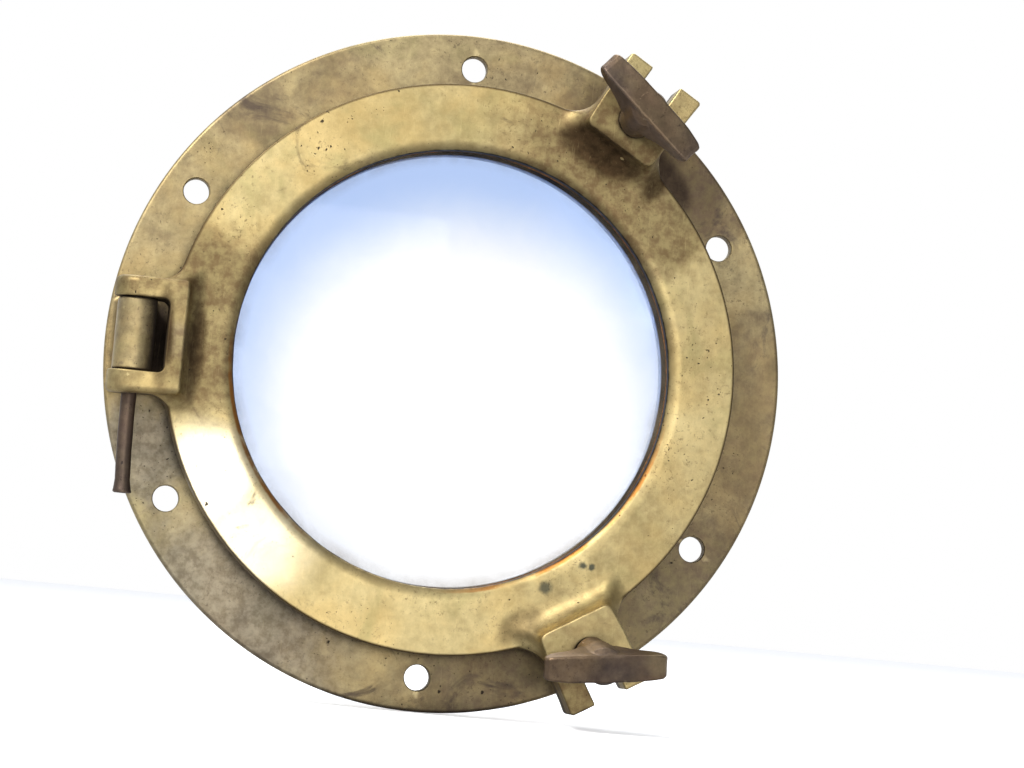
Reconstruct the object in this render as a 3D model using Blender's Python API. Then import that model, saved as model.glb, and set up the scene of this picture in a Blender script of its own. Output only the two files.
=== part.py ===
"""Opening porthole: bolted main frame, glazed ring on a side hinge, and two swing-bolt dogs.

Metres, +Z up. The origin is the centre of the main frame's back face. +X points to the dogs' side,
and the front of the porthole faces -Y. Heights are measured forwards from the flange's front face.
"""
import math

import bmesh
import bpy
from mathutils import Matrix, Vector

MM = 0.001

# main frame: flange, seat collar and tube
FLANGE_RADIUS = 152.4 * MM
FLANGE_THICKNESS = 6.5 * MM
FLANGE_CHAMFER = 1.5 * MM
BOLT_CIRCLE_RADIUS = 137.15 * MM
BOLT_HOLE_RADIUS = 5.75 * MM
BOLT_HOLE_COUNT = 6
FIRST_BOLT_ANGLE = math.radians(30)
TUBE_BORE_RADIUS = 104.0 * MM
TUBE_OUTER_RADIUS = 110.0 * MM
TUBE_LENGTH = 30.0 * MM
COLLAR_BORE_RADIUS = 110.4 * MM
COLLAR_OUTER_RADIUS = 121.0 * MM
COLLAR_HEIGHT = 7.0 * MM
COLLAR_LEDGE = -3.0 * MM
BEAD_RADIUS = 115.0 * MM
BEAD_HALF_WIDTH = 2.0 * MM
BEAD_TOP = 9.7 * MM

# glass frame: the ring that swings
RING_OUTER_RADIUS = 126.3 * MM
RING_FRONT = 24.8 * MM
RING_BACK = 9.8 * MM
SIGHT_RADIUS = 96.8 * MM
LIP_ROUND_RUN = 6.0 * MM
LIP_ROUND_DROP = 2.8 * MM
LIP_BACK = 18.8 * MM
REBATE_RADIUS = 103.4 * MM
BARREL_OUTER_RADIUS = 109.0 * MM
BARREL_BACK = 4.6 * MM
GROOVE_INNER_RADIUS = 111.6 * MM
GROOVE_OUTER_RADIUS = 118.4 * MM
GROOVE_FLOOR = 13.0 * MM

# glazing
GLASS_RADIUS = 102.8 * MM
GLASS_FRONT = 17.1 * MM
GLASS_BACK = 8.6 * MM
FRONT_BEDDING_INNER_RADIUS = 95.9 * MM
REAR_BEDDING_INNER_RADIUS = 96.6 * MM
RETAINER_INNER_RADIUS = 96.2 * MM
RETAINER_OUTER_RADIUS = 108.4 * MM
RETAINER_SPIGOT_RADIUS = 103.0 * MM
RETAINER_BACK = 1.6 * MM
RETAINER_STEP = 4.3 * MM
RETAINER_TOP = 7.4 * MM
SCREW_COUNT = 6
SCREW_CIRCLE_RADIUS = 106.1 * MM
SCREW_SHANK_RADIUS = 1.6 * MM
SCREW_HEAD_RADIUS = 2.9 * MM
SCREW_HEAD_BACK = -0.6 * MM
SCREW_HEAD_SEAT = 1.3 * MM
SCREW_TIP = 11.5 * MM

# hinge, on the left
HINGE_X = -140.0 * MM
HINGE_HEIGHT = 24.0 * MM
KNUCKLE_RADIUS = 8.5 * MM
KNUCKLE_BOTTOM = -15.1 * MM
KNUCKLE_TOP = 16.3 * MM
PIN_RADIUS = 3.3 * MM
PIN_HOLE_RADIUS = 3.65 * MM
PIN_TOP = 25.4 * MM
PIN_BOTTOM = -68.6 * MM
PIN_FLARE_RADIUS = 4.1 * MM
CLEVIS_HALF_HEIGHT = 25.7 * MM
CLEVIS_GAP_BOTTOM = -15.5 * MM
CLEVIS_GAP_TOP = 16.7 * MM
CLEVIS_ROUND = 10.5 * MM
CLEVIS_WEB_OUTER_X = -126.3 * MM
CLEVIS_WEB_INNER_X = -118.6 * MM
CLEVIS_FILLET = 8.0 * MM

# dogs, on the right
DOG_ANGLE = math.radians(59.4)
PIVOT_RADIUS = 128.5 * MM
PIVOT_HEIGHT = 7.0 * MM
EAR_RADIUS = 7.0 * MM
EAR_INNER = 6.8 * MM
EAR_OUTER = 13.8 * MM
PIVOT_PIN_RADIUS = 3.0 * MM
PIVOT_PIN_HALF_LENGTH = 14.6 * MM
PIVOT_HOLE_RADIUS = 3.3 * MM
FORK_TOP = 37.5 * MM
FORK_BOTTOM = 17.0 * MM
FORK_INNER_RADIUS = 121.8 * MM
FORK_TIP_RADIUS = 159.6 * MM
FORK_HALF_WIDTH_INNER = 17.3 * MM
FORK_HALF_WIDTH_TIP = 19.1 * MM
FORK_FILLET = 12.0 * MM
SLOT_HALF_WIDTH = 7.5 * MM
POCKET_HALF_WIDTH = 15.0 * MM
POCKET_INNER_RADIUS = 120.3 * MM
POCKET_TOP = 15.3 * MM
EYE_RADIUS = 6.5 * MM
EYE_HALF_WIDTH = 6.4 * MM
SHANK_RADIUS = 4.8 * MM
NUT_BORE_RADIUS = 5.1 * MM
NUT_TOP_DISTANCE = 61.4 * MM
NUT_DEPTH = 27.0 * MM
NUT_CROWN = 4.0 * MM
NUT_HALF_LENGTH = 27.6 * MM
NUT_HALF_WIDTH = 6.1 * MM
NUT_HUB_RADIUS = 7.2 * MM
NUT_BOSS_RADIUS = 8.4 * MM  # the upper part of the hub, which stays clear of the fork
NUT_BOSS_DEPTH = 17.0 * MM
DOGS = {
    "upper": {"side": 1, "lean": math.radians(9.4), "turn": math.radians(-12.0)},
    "lower": {"side": -1, "lean": math.radians(15.6), "turn": math.radians(-25.5)},
}

# facets round a full circle
LARGE_CIRCLE = 72
MEDIUM_CIRCLE = 60
SMALL_CIRCLE = 32
TINY_CIRCLE = 20
FIRST_FACET = 0.31  # of a facet, so that the corners of holes stay off the rings' facet edges

BRASS_DULL = ("aged_brass_dull", (0.235, 0.170, 0.085, 1.0), 0.45, 1.0)
BRASS_BRIGHT = ("aged_brass_bright", (0.420, 0.330, 0.140, 1.0), 0.35, 1.0)
BRASS_DARK = ("aged_brass_dark", (0.130, 0.090, 0.052, 1.0), 0.42, 1.0)
GLASS = ("window_glass", (0.800, 0.860, 0.900, 1.0), 0.05, 0.0)
RUBBER = ("gasket_rubber", (0.020, 0.020, 0.020, 1.0), 0.80, 0.0)
PUTTY = ("bedding_putty", (0.180, 0.090, 0.040, 1.0), 0.85, 0.0)


def point(x, z, height):
    """A world point from its place on the flange and its height above the flange's front."""
    return Vector((x, -(FLANGE_THICKNESS + height), z))


def polar(radius, angle):
    return radius * math.cos(angle), radius * math.sin(angle)


def arc(centre, radius, start, end, steps):
    """Points of a circle's arc in a plane, both ends included, angles in degrees."""
    result = []
    for i in range(steps + 1):
        angle = math.radians(start + (end - start) * i / steps)
        result.append((centre[0] + radius * math.cos(angle), centre[1] + radius * math.sin(angle)))
    return result


def make_material(spec):
    name, colour, roughness, metallic = spec
    material = bpy.data.materials.get(name)
    if material is None:
        material = bpy.data.materials.new(name)
        material.use_nodes = True
        shader = material.node_tree.nodes["Principled BSDF"]
        shader.inputs["Base Color"].default_value = colour
        shader.inputs["Roughness"].default_value = roughness
        shader.inputs["Metallic"].default_value = metallic
        material.diffuse_color = colour
    return material


def make_object(name, bm, spec=BRASS_DULL):
    """An object from a bmesh whose faces are turned outwards."""
    bmesh.ops.recalc_face_normals(bm, faces=bm.faces)
    mesh = bpy.data.meshes.new(name)
    bm.to_mesh(mesh)
    bm.free()
    obj = bpy.data.objects.new(name, mesh)
    obj.data.materials.append(make_material(spec))
    bpy.context.scene.collection.objects.link(obj)
    return obj


def revolved(name, profile, segments, spec=BRASS_DULL):
    """A ring from a closed profile of (radius, height) turned about the porthole's axis."""
    bm = bmesh.new()
    verts = [bm.verts.new(point(radius, 0.0, height)) for radius, height in profile]
    edges = [bm.edges.new((verts[i - 1], verts[i])) for i in range(len(verts))]
    bmesh.ops.spin(
        bm,
        geom=verts + edges,
        cent=(0.0, 0.0, 0.0),
        axis=(0.0, 1.0, 0.0),
        angle=2.0 * math.pi,
        steps=segments,
        use_merge=True,
    )
    bmesh.ops.remove_doubles(bm, verts=bm.verts, dist=0.00001)
    return make_object(name, bm, spec)


def lofted(name, rings, spec=BRASS_DULL):
    """A closed solid through rings of points, with the same number of points in each ring."""
    bm = bmesh.new()
    loops = [[bm.verts.new(co) for co in ring] for ring in rings]
    bm.faces.new(list(reversed(loops[0])))
    bm.faces.new(loops[-1])
    for low, high in zip(loops, loops[1:]):
        for i in range(len(low)):
            bm.faces.new((low[i - 1], low[i], high[i], high[i - 1]))
    return make_object(name, bm, spec)


def lathed(name, profile, segments, spec=BRASS_DULL):
    """A turned solid about its own Z axis, from (radius, z) points without the two axis points."""
    rings = []
    for radius, z in profile:
        ring = []
        for i in range(segments):
            x, y = polar(radius, 2.0 * math.pi * (i + FIRST_FACET) / segments)
            ring.append(Vector((x, y, z)))
        rings.append(ring)
    return lofted(name, rings, spec)


def cylinder(name, start, end, radius, segments=SMALL_CIRCLE):
    """A plain cylinder from one point to another."""
    direction = end - start
    obj = lathed(name, [(radius, 0.0), (radius, direction.length)], segments)
    turn = direction.to_track_quat("Z", "Y").to_matrix().to_4x4()
    obj.data.transform(Matrix.Translation(start) @ turn)
    return obj


def combine(target, tool, operation):
    """Join a tool body to the target, or cut it out, and remove the tool."""
    modifier = target.modifiers.new(operation.lower(), "BOOLEAN")
    modifier.operation = operation
    modifier.solver = "EXACT"
    modifier.object = tool
    depsgraph = bpy.context.evaluated_depsgraph_get()
    result = bpy.data.meshes.new_from_object(target.evaluated_get(depsgraph))
    target.modifiers.clear()
    old = target.data
    target.data = result
    bpy.data.meshes.remove(old)
    bpy.data.objects.remove(tool, do_unlink=True)
    result.materials.clear()


def finish(obj, name, spec, pivot=None, sharp_angle=35.0):
    """Name the object, give it its material, put its origin on its pivot and shade it."""
    obj.name = name
    obj.data.name = name
    obj.data.materials.clear()
    obj.data.materials.append(make_material(spec))
    if pivot is not None:
        obj.data.transform(Matrix.Translation(-pivot))
        obj.location = pivot
    obj.data.shade_smooth()
    obj.data.set_sharp_from_angle(angle=math.radians(sharp_angle))
    return obj


def dog_frame(side):
    """The radial and tangential directions at a dog, in the flange's plane."""
    angle = side * DOG_ANGLE
    radial = Vector((math.cos(angle), 0.0, math.sin(angle)))
    tangential = Vector((-math.sin(angle), 0.0, math.cos(angle)))
    return radial, tangential


def dog_point(side, radius, across, height):
    radial, tangential = dog_frame(side)
    return radial * radius + tangential * across + point(0.0, 0.0, height)


def dog_outline(side, outline, height):
    """A flat outline of (radius, across) points at one height."""
    return [dog_point(side, radius, across, height) for radius, across in outline]


def rounded_corners(corners, radius, steps=3):
    """The same convex outline, listed anticlockwise, with its corners rounded."""
    result = []
    count = len(corners)
    for i in range(count):
        before = Vector(corners[i - 1])
        here = Vector(corners[i])
        after = Vector(corners[(i + 1) % count])
        to_before = (before - here).normalized()
        to_after = (after - here).normalized()
        half = to_before.angle(to_after) / 2.0
        reach = radius / math.tan(half)
        centre = here + (to_before + to_after).normalized() * (radius / math.sin(half))
        first = here + to_before * reach - centre
        last = here + to_after * reach - centre
        for k in range(steps + 1):
            mixed = first.lerp(last, k / steps).normalized() * radius
            result.append(tuple(centre + mixed))
    return result


def grown(corners, offset):
    """A convex outline, listed anticlockwise, with every side moved outwards."""
    result = []
    count = len(corners)
    for i in range(count):
        before = Vector(corners[i - 1])
        here = Vector(corners[i])
        after = Vector(corners[(i + 1) % count])
        side_in = (here - before).normalized()
        side_out = (after - here).normalized()
        normal_in = Vector((side_in.y, -side_in.x))
        normal_out = Vector((side_out.y, -side_out.x))
        shift = (normal_in + normal_out) * (offset / (1.0 + normal_in.dot(normal_out)))
        result.append(tuple(here + shift))
    return result


def fillet_levels(radius, base, steps=3):
    """(outward offset, height) down a concave quarter round that ends on a flat base."""
    result = []
    for i in range(steps + 1):
        angle = math.radians(90.0 * i / steps)
        offset = radius * (1.0 - math.cos(angle))
        result.append((offset, base + radius * (1.0 - math.sin(angle))))
    return result


def main_frame():
    back = -FLANGE_THICKNESS
    bead = arc((BEAD_RADIUS, BEAD_TOP - BEAD_HALF_WIDTH), BEAD_HALF_WIDTH, 0, 180, 4)
    profile = [
        (TUBE_BORE_RADIUS, back - TUBE_LENGTH),
        (TUBE_OUTER_RADIUS, back - TUBE_LENGTH),
        (TUBE_OUTER_RADIUS, back),
        (FLANGE_RADIUS - FLANGE_CHAMFER, back),
        (FLANGE_RADIUS, back + FLANGE_CHAMFER),
        (FLANGE_RADIUS, -FLANGE_CHAMFER),
        (FLANGE_RADIUS - FLANGE_CHAMFER, 0.0),
        (COLLAR_OUTER_RADIUS, 0.0),
        (COLLAR_OUTER_RADIUS, COLLAR_HEIGHT),
        (BEAD_RADIUS + BEAD_HALF_WIDTH, COLLAR_HEIGHT),
        *bead,
        (BEAD_RADIUS - BEAD_HALF_WIDTH, COLLAR_HEIGHT),
        (COLLAR_BORE_RADIUS, COLLAR_HEIGHT),
        (COLLAR_BORE_RADIUS, COLLAR_LEDGE),
        (TUBE_BORE_RADIUS, COLLAR_LEDGE),
    ]
    frame = revolved("main_frame", profile, LARGE_CIRCLE)

    neck = [
        (HINGE_X - KNUCKLE_RADIUS, HINGE_HEIGHT),
        (HINGE_X - KNUCKLE_RADIUS, -1.0 * MM),
        (HINGE_X + KNUCKLE_RADIUS, -1.0 * MM),
        (HINGE_X + KNUCKLE_RADIUS, HINGE_HEIGHT),
    ]
    outline = neck + arc((HINGE_X, HINGE_HEIGHT), KNUCKLE_RADIUS, 0, 180, 16)[1:-1]
    rings = []
    for z in (KNUCKLE_BOTTOM, KNUCKLE_TOP):
        rings.append([point(x, z, height) for x, height in outline])
    combine(frame, lofted("knuckle", rings), "UNION")
    hole_start = point(HINGE_X, -30.0 * MM, HINGE_HEIGHT)
    hole_end = point(HINGE_X, 30.0 * MM, HINGE_HEIGHT)
    combine(frame, cylinder("pin_hole", hole_start, hole_end, PIN_HOLE_RADIUS), "DIFFERENCE")

    for dog in DOGS.values():
        side = dog["side"]
        ear = [
            (PIVOT_RADIUS - EAR_RADIUS - 1.5 * MM, -1.0 * MM),
            (PIVOT_RADIUS + EAR_RADIUS, -1.0 * MM),
        ]
        ear += arc((PIVOT_RADIUS, PIVOT_HEIGHT), EAR_RADIUS, 0, 135, 9)
        ear.append((PIVOT_RADIUS - EAR_RADIUS - 1.5 * MM, PIVOT_HEIGHT - 0.5 * MM))
        for low, high in ((-EAR_OUTER, -EAR_INNER), (EAR_INNER, EAR_OUTER)):
            rings = []
            for across in (low, high):
                rings.append([dog_point(side, radius, across, height) for radius, height in ear])
            combine(frame, lofted("ear", rings), "UNION")
        start = dog_point(side, PIVOT_RADIUS, -20.0 * MM, PIVOT_HEIGHT)
        end = dog_point(side, PIVOT_RADIUS, 20.0 * MM, PIVOT_HEIGHT)
        combine(frame, cylinder("ear_hole", start, end, PIVOT_HOLE_RADIUS, 24), "DIFFERENCE")

    for i in range(BOLT_HOLE_COUNT):
        angle = FIRST_BOLT_ANGLE + 2.0 * math.pi * i / BOLT_HOLE_COUNT
        x, z = polar(BOLT_CIRCLE_RADIUS, angle)
        start = point(x, z, -20.0 * MM)
        end = point(x, z, 10.0 * MM)
        combine(frame, cylinder("bolt_hole", start, end, BOLT_HOLE_RADIUS, 24), "DIFFERENCE")
    return finish(frame, "main_frame", BRASS_DULL)


def add_fillet_skirt(ring, outline, radius, place):
    """Blend an upright lug into the ring's front face with a concave skirt of its outline."""
    rings = []
    for offset, height in reversed(fillet_levels(radius, RING_FRONT - 0.05 * MM)):
        corners = rounded_corners(grown(outline, offset), 1.2 * MM + 0.4 * offset)
        rings.append([place(u, v, height) for u, v in corners])
    base = [co + Vector((0.0, 3.0 * MM, 0.0)) for co in rings[0]]
    skirt = lofted("skirt", [base] + rings)
    limit = cylinder("limit", point(0, 0, 0), point(0, 0, 60 * MM), RING_OUTER_RADIUS - 0.05 * MM,
                     LARGE_CIRCLE)
    combine(skirt, limit, "INTERSECT")
    combine(ring, skirt, "UNION")


def add_hinge_clevis(ring):
    ear_bottom = HINGE_HEIGHT - CLEVIS_ROUND
    outline = [(CLEVIS_WEB_INNER_X, HINGE_HEIGHT + CLEVIS_ROUND)]
    outline += arc((HINGE_X, HINGE_HEIGHT), CLEVIS_ROUND, 90, 270, 14)
    outline += [
        (-RING_OUTER_RADIUS, ear_bottom - 1.5 * MM),
        (-RING_OUTER_RADIUS + 4.0 * MM, ear_bottom - 1.5 * MM),
        (-RING_OUTER_RADIUS + 4.0 * MM, GROOVE_FLOOR + 2.0 * MM),
        (CLEVIS_WEB_INNER_X, GROOVE_FLOOR + 2.0 * MM),
    ]
    rings = []
    for z in (-CLEVIS_HALF_HEIGHT, CLEVIS_HALF_HEIGHT):
        rings.append([point(x, z, height) for x, height in outline])
    combine(ring, lofted("clevis", rings), "UNION")
    footprint = [
        (CLEVIS_WEB_OUTER_X + 1.0 * MM, -CLEVIS_HALF_HEIGHT + 0.3 * MM),
        (CLEVIS_WEB_INNER_X - 0.3 * MM, -CLEVIS_HALF_HEIGHT + 0.3 * MM),
        (CLEVIS_WEB_INNER_X - 0.3 * MM, CLEVIS_HALF_HEIGHT - 0.3 * MM),
        (CLEVIS_WEB_OUTER_X + 1.0 * MM, CLEVIS_HALF_HEIGHT - 0.3 * MM),
    ]
    add_fillet_skirt(ring, footprint, CLEVIS_FILLET, point)
    gap = [
        (-160.0 * MM, CLEVIS_GAP_BOTTOM),
        (CLEVIS_WEB_OUTER_X, CLEVIS_GAP_BOTTOM),
        (CLEVIS_WEB_OUTER_X, CLEVIS_GAP_TOP),
        (-160.0 * MM, CLEVIS_GAP_TOP),
    ]
    gap = rounded_corners(gap, 3.0 * MM)
    rings = [[point(x, z, height) for x, z in gap] for height in (0.0, 50.0 * MM)]
    combine(ring, lofted("gap", rings), "DIFFERENCE")
    start = point(HINGE_X, -40.0 * MM, HINGE_HEIGHT)
    end = point(HINGE_X, 40.0 * MM, HINGE_HEIGHT)
    combine(ring, cylinder("pin_hole", start, end, PIN_HOLE_RADIUS), "DIFFERENCE")


def add_dog_fork(ring, dog):
    """A fork with its slot, whose inner end leans as far as the bolt that rests against it."""
    side = dog["side"]
    lean = dog["lean"]

    def place(radius, across, height):
        return dog_point(side, radius, across, height)

    lug = [
        (FORK_INNER_RADIUS, -FORK_HALF_WIDTH_INNER),
        (FORK_TIP_RADIUS, -FORK_HALF_WIDTH_TIP),
        (FORK_TIP_RADIUS, FORK_HALF_WIDTH_TIP),
        (FORK_INNER_RADIUS, FORK_HALF_WIDTH_INNER),
    ]
    body = rounded_corners(lug, 3.2 * MM)
    top = rounded_corners(grown(lug, -0.8 * MM), 2.5 * MM)
    rings = [
        dog_outline(side, body, FORK_BOTTOM),
        dog_outline(side, body, FORK_TOP - 0.8 * MM),
        dog_outline(side, top, FORK_TOP),
    ]
    combine(ring, lofted("fork", rings), "UNION")
    footprint = [
        (FORK_INNER_RADIUS + 0.3 * MM, -FORK_HALF_WIDTH_INNER + 0.3 * MM),
        (RING_OUTER_RADIUS + 6.0 * MM, -FORK_HALF_WIDTH_INNER + 0.3 * MM),
        (RING_OUTER_RADIUS + 6.0 * MM, FORK_HALF_WIDTH_INNER - 0.3 * MM),
        (FORK_INNER_RADIUS + 0.3 * MM, FORK_HALF_WIDTH_INNER - 0.3 * MM),
    ]
    add_fillet_skirt(ring, footprint, FORK_FILLET, place)
    rings = []
    for height in (0.0, 60.0 * MM):
        bolt_side = SHANK_RADIUS / math.cos(lean) + 0.35 * MM
        rise = height - PIVOT_HEIGHT
        slot_end = PIVOT_RADIUS + rise * math.tan(lean) - bolt_side
        slot = arc((slot_end + SLOT_HALF_WIDTH, 0.0), SLOT_HALF_WIDTH, 90, 270, 12)
        slot += [(180.0 * MM, -SLOT_HALF_WIDTH), (180.0 * MM, SLOT_HALF_WIDTH)]
        rings.append(dog_outline(side, slot, height))
    combine(ring, lofted("slot", rings), "DIFFERENCE")
    pocket = [
        (POCKET_INNER_RADIUS, -POCKET_HALF_WIDTH),
        (140.0 * MM, -POCKET_HALF_WIDTH),
        (140.0 * MM, POCKET_HALF_WIDTH),
        (POCKET_INNER_RADIUS, POCKET_HALF_WIDTH),
    ]
    rings = [dog_outline(side, pocket, height) for height in (0.0, POCKET_TOP)]
    combine(ring, lofted("pocket", rings), "DIFFERENCE")


def glass_frame(hinge_point):
    lip = []
    for i in range(5):
        angle = math.radians(90.0 * i / 4)
        radius = SIGHT_RADIUS + LIP_ROUND_RUN * (1.0 - math.sin(angle))
        lip.append((radius, RING_FRONT - LIP_ROUND_DROP * (1.0 - math.cos(angle))))
    profile = [
        (RING_OUTER_RADIUS, RING_BACK),
        (RING_OUTER_RADIUS, RING_FRONT - 0.9 * MM),
        (RING_OUTER_RADIUS - 0.9 * MM, RING_FRONT),
        *lip,
        (SIGHT_RADIUS, LIP_BACK),
        (REBATE_RADIUS, LIP_BACK),
        (REBATE_RADIUS, BARREL_BACK),
        (BARREL_OUTER_RADIUS, BARREL_BACK),
        (BARREL_OUTER_RADIUS, RING_BACK),
        (GROOVE_INNER_RADIUS, RING_BACK),
        (GROOVE_INNER_RADIUS, GROOVE_FLOOR),
        (GROOVE_OUTER_RADIUS, GROOVE_FLOOR),
        (GROOVE_OUTER_RADIUS, RING_BACK),
    ]
    ring = revolved("glass_frame", profile, LARGE_CIRCLE)
    add_hinge_clevis(ring)
    for dog in DOGS.values():
        add_dog_fork(ring, dog)
    for i in range(SCREW_COUNT):
        x, z = polar(SCREW_CIRCLE_RADIUS, 2.0 * math.pi * i / SCREW_COUNT)
        start = point(x, z, 0.0)
        end = point(x, z, SCREW_TIP + 0.5 * MM)
        hole = cylinder("screw_hole", start, end, SCREW_SHANK_RADIUS + 0.3 * MM, 12)
        combine(ring, hole, "DIFFERENCE")
    return finish(ring, "glass_frame", BRASS_BRIGHT, hinge_point)


def glazing(hinge_point):
    """The pane with its bedding, the retaining ring and its screws, and the gasket."""
    pieces = []
    gasket = [
        (GROOVE_INNER_RADIUS + 0.3 * MM, RING_BACK + 0.3 * MM),
        (GROOVE_OUTER_RADIUS - 0.3 * MM, RING_BACK + 0.3 * MM),
        (GROOVE_OUTER_RADIUS - 0.3 * MM, GROOVE_FLOOR - 0.3 * MM),
        (GROOVE_INNER_RADIUS + 0.3 * MM, GROOVE_FLOOR - 0.3 * MM),
    ]
    ring = revolved("frame_gasket", gasket, MEDIUM_CIRCLE, RUBBER)
    pieces.append(finish(ring, "frame_gasket", RUBBER, hinge_point))

    front = [
        (FRONT_BEDDING_INNER_RADIUS, GLASS_FRONT + 0.3 * MM),
        (REBATE_RADIUS - 0.4 * MM, GLASS_FRONT + 0.3 * MM),
        (REBATE_RADIUS - 0.4 * MM, LIP_BACK - 0.3 * MM),
        (FRONT_BEDDING_INNER_RADIUS + 0.6 * MM, LIP_BACK - 0.3 * MM),
    ]
    ring = revolved("front_bedding", front, MEDIUM_CIRCLE, PUTTY)
    pieces.append(finish(ring, "front_bedding", PUTTY, hinge_point))

    rear = [
        (REAR_BEDDING_INNER_RADIUS, RETAINER_TOP + 0.3 * MM),
        (GLASS_RADIUS, RETAINER_TOP + 0.3 * MM),
        (GLASS_RADIUS, GLASS_BACK - 0.3 * MM),
        (REAR_BEDDING_INNER_RADIUS, GLASS_BACK - 0.3 * MM),
    ]
    ring = revolved("rear_bedding", rear, MEDIUM_CIRCLE, PUTTY)
    pieces.append(finish(ring, "rear_bedding", PUTTY, hinge_point))

    pane_back = point(0, 0, GLASS_BACK)
    pane_front = point(0, 0, GLASS_FRONT)
    pane = cylinder("glass_pane", pane_back, pane_front, GLASS_RADIUS, MEDIUM_CIRCLE)
    pieces.append(finish(pane, "glass_pane", GLASS, hinge_point))

    profile = [
        (RETAINER_INNER_RADIUS, RETAINER_BACK),
        (RETAINER_OUTER_RADIUS, RETAINER_BACK),
        (RETAINER_OUTER_RADIUS, RETAINER_STEP),
        (RETAINER_SPIGOT_RADIUS, RETAINER_STEP),
        (RETAINER_SPIGOT_RADIUS, RETAINER_TOP),
        (RETAINER_INNER_RADIUS, RETAINER_TOP),
    ]
    ring = revolved("glass_retaining_ring", profile, MEDIUM_CIRCLE)
    for i in range(SCREW_COUNT):
        x, z = polar(SCREW_CIRCLE_RADIUS, 2.0 * math.pi * i / SCREW_COUNT)
        hole = cylinder("hole", point(x, z, 0.0), point(x, z, 6.0 * MM), SCREW_SHANK_RADIUS + 0.3 * MM, 12)
        combine(ring, hole, "DIFFERENCE")
    pieces.append(finish(ring, "glass_retaining_ring", BRASS_DULL, hinge_point))
    return pieces


def retaining_screws(hinge_point):
    """Cheese-head screws, their slots turned by differing amounts."""
    pieces = []
    length = SCREW_TIP - SCREW_HEAD_BACK
    head = SCREW_HEAD_SEAT - SCREW_HEAD_BACK
    for i in range(SCREW_COUNT):
        screw = lathed(
            "screw",
            [
                (SCREW_HEAD_RADIUS, 0.0),
                (SCREW_HEAD_RADIUS, head),
                (SCREW_SHANK_RADIUS, head),
                (SCREW_SHANK_RADIUS, length - 1.0 * MM),
                (SCREW_SHANK_RADIUS * 0.4, length),
            ],
            14,
        )
        corners = [(-5.0, -0.45), (5.0, -0.45), (5.0, 0.45), (-5.0, 0.45)]
        rings = [[Vector((u * MM, v * MM, z)) for u, v in corners] for z in (-1.0 * MM, 0.7 * MM)]
        combine(screw, lofted("screw_slot", rings), "DIFFERENCE")
        x, z = polar(SCREW_CIRCLE_RADIUS, 2.0 * math.pi * i / SCREW_COUNT)
        turn = Matrix.Rotation(math.radians(90), 4, "X") @ Matrix.Rotation(0.9 * i + 0.4, 4, "Z")
        screw.data.transform(Matrix.Translation(point(x, z, SCREW_HEAD_BACK)) @ turn)
        pieces.append(finish(screw, f"retaining_screw_{i + 1}", BRASS_DARK, hinge_point))
    return pieces


def hinge_pin(hinge_point):
    """A plain pin with a flared lower end that stands out below the hinge."""
    profile = [
        (PIN_FLARE_RADIUS, PIN_BOTTOM),
        (PIN_FLARE_RADIUS, PIN_BOTTOM + 0.9 * MM),
        (PIN_RADIUS + 0.35 * MM, PIN_BOTTOM + 3.2 * MM),
        (PIN_RADIUS, PIN_BOTTOM + 6.0 * MM),
        (PIN_RADIUS, PIN_TOP - 0.7 * MM),
        (PIN_RADIUS - 0.7 * MM, PIN_TOP),
    ]
    pin = lathed("hinge_pin", profile, 24)
    pin.data.transform(Matrix.Translation(hinge_point))
    return finish(pin, "hinge_pin", BRASS_DARK, hinge_point)


def dog_axes(dog):
    """The pivot, and a matrix whose X is tangential and whose Z runs out along the leaning bolt."""
    radial, tangential = dog_frame(dog["side"])
    outward = Vector((0.0, -1.0, 0.0))
    along = outward * math.cos(dog["lean"]) + radial * math.sin(dog["lean"])
    across = along.cross(tangential)
    matrix = Matrix((tangential, across, along)).transposed().to_4x4()
    return dog_point(dog["side"], PIVOT_RADIUS, 0.0, PIVOT_HEIGHT), matrix


def place_at(obj, pivot, matrix):
    obj.rotation_euler = matrix.to_euler()
    obj.location = pivot


def swing_bolt(name, dog):
    """An eye on the pivot pin with a threaded shank along the bolt's own Z."""
    half = EYE_HALF_WIDTH
    eye = cylinder(name, Vector((-half, 0, 0)), Vector((half, 0, 0)), EYE_RADIUS, 28)
    top = NUT_TOP_DISTANCE - NUT_CROWN - 0.4 * MM
    shank = lathed(
        "shank",
        [
            (SHANK_RADIUS, 2.0 * MM),
            (SHANK_RADIUS, top - 1.0 * MM),
            (SHANK_RADIUS - 1.0 * MM, top),
        ],
        24,
    )
    combine(eye, shank, "UNION")
    hole = cylinder("hole", Vector((-20 * MM, 0, 0)), Vector((20 * MM, 0, 0)), PIVOT_HOLE_RADIUS, 24)
    combine(eye, hole, "DIFFERENCE")
    bolt = finish(eye, name, BRASS_DARK)
    place_at(bolt, *dog_axes(dog))
    return bolt


def pivot_pin(name, dog):
    end = PIVOT_PIN_HALF_LENGTH
    profile = [
        (PIVOT_PIN_RADIUS - 0.5 * MM, -end),
        (PIVOT_PIN_RADIUS, -end + 0.5 * MM),
        (PIVOT_PIN_RADIUS, end - 0.5 * MM),
        (PIVOT_PIN_RADIUS - 0.5 * MM, end),
    ]
    pin = lathed(name, profile, TINY_CIRCLE)
    pin.data.transform(Matrix.Rotation(math.radians(90), 4, "Y"))
    pin = finish(pin, name, BRASS_DARK)
    place_at(pin, *dog_axes(dog))
    return pin


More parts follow.
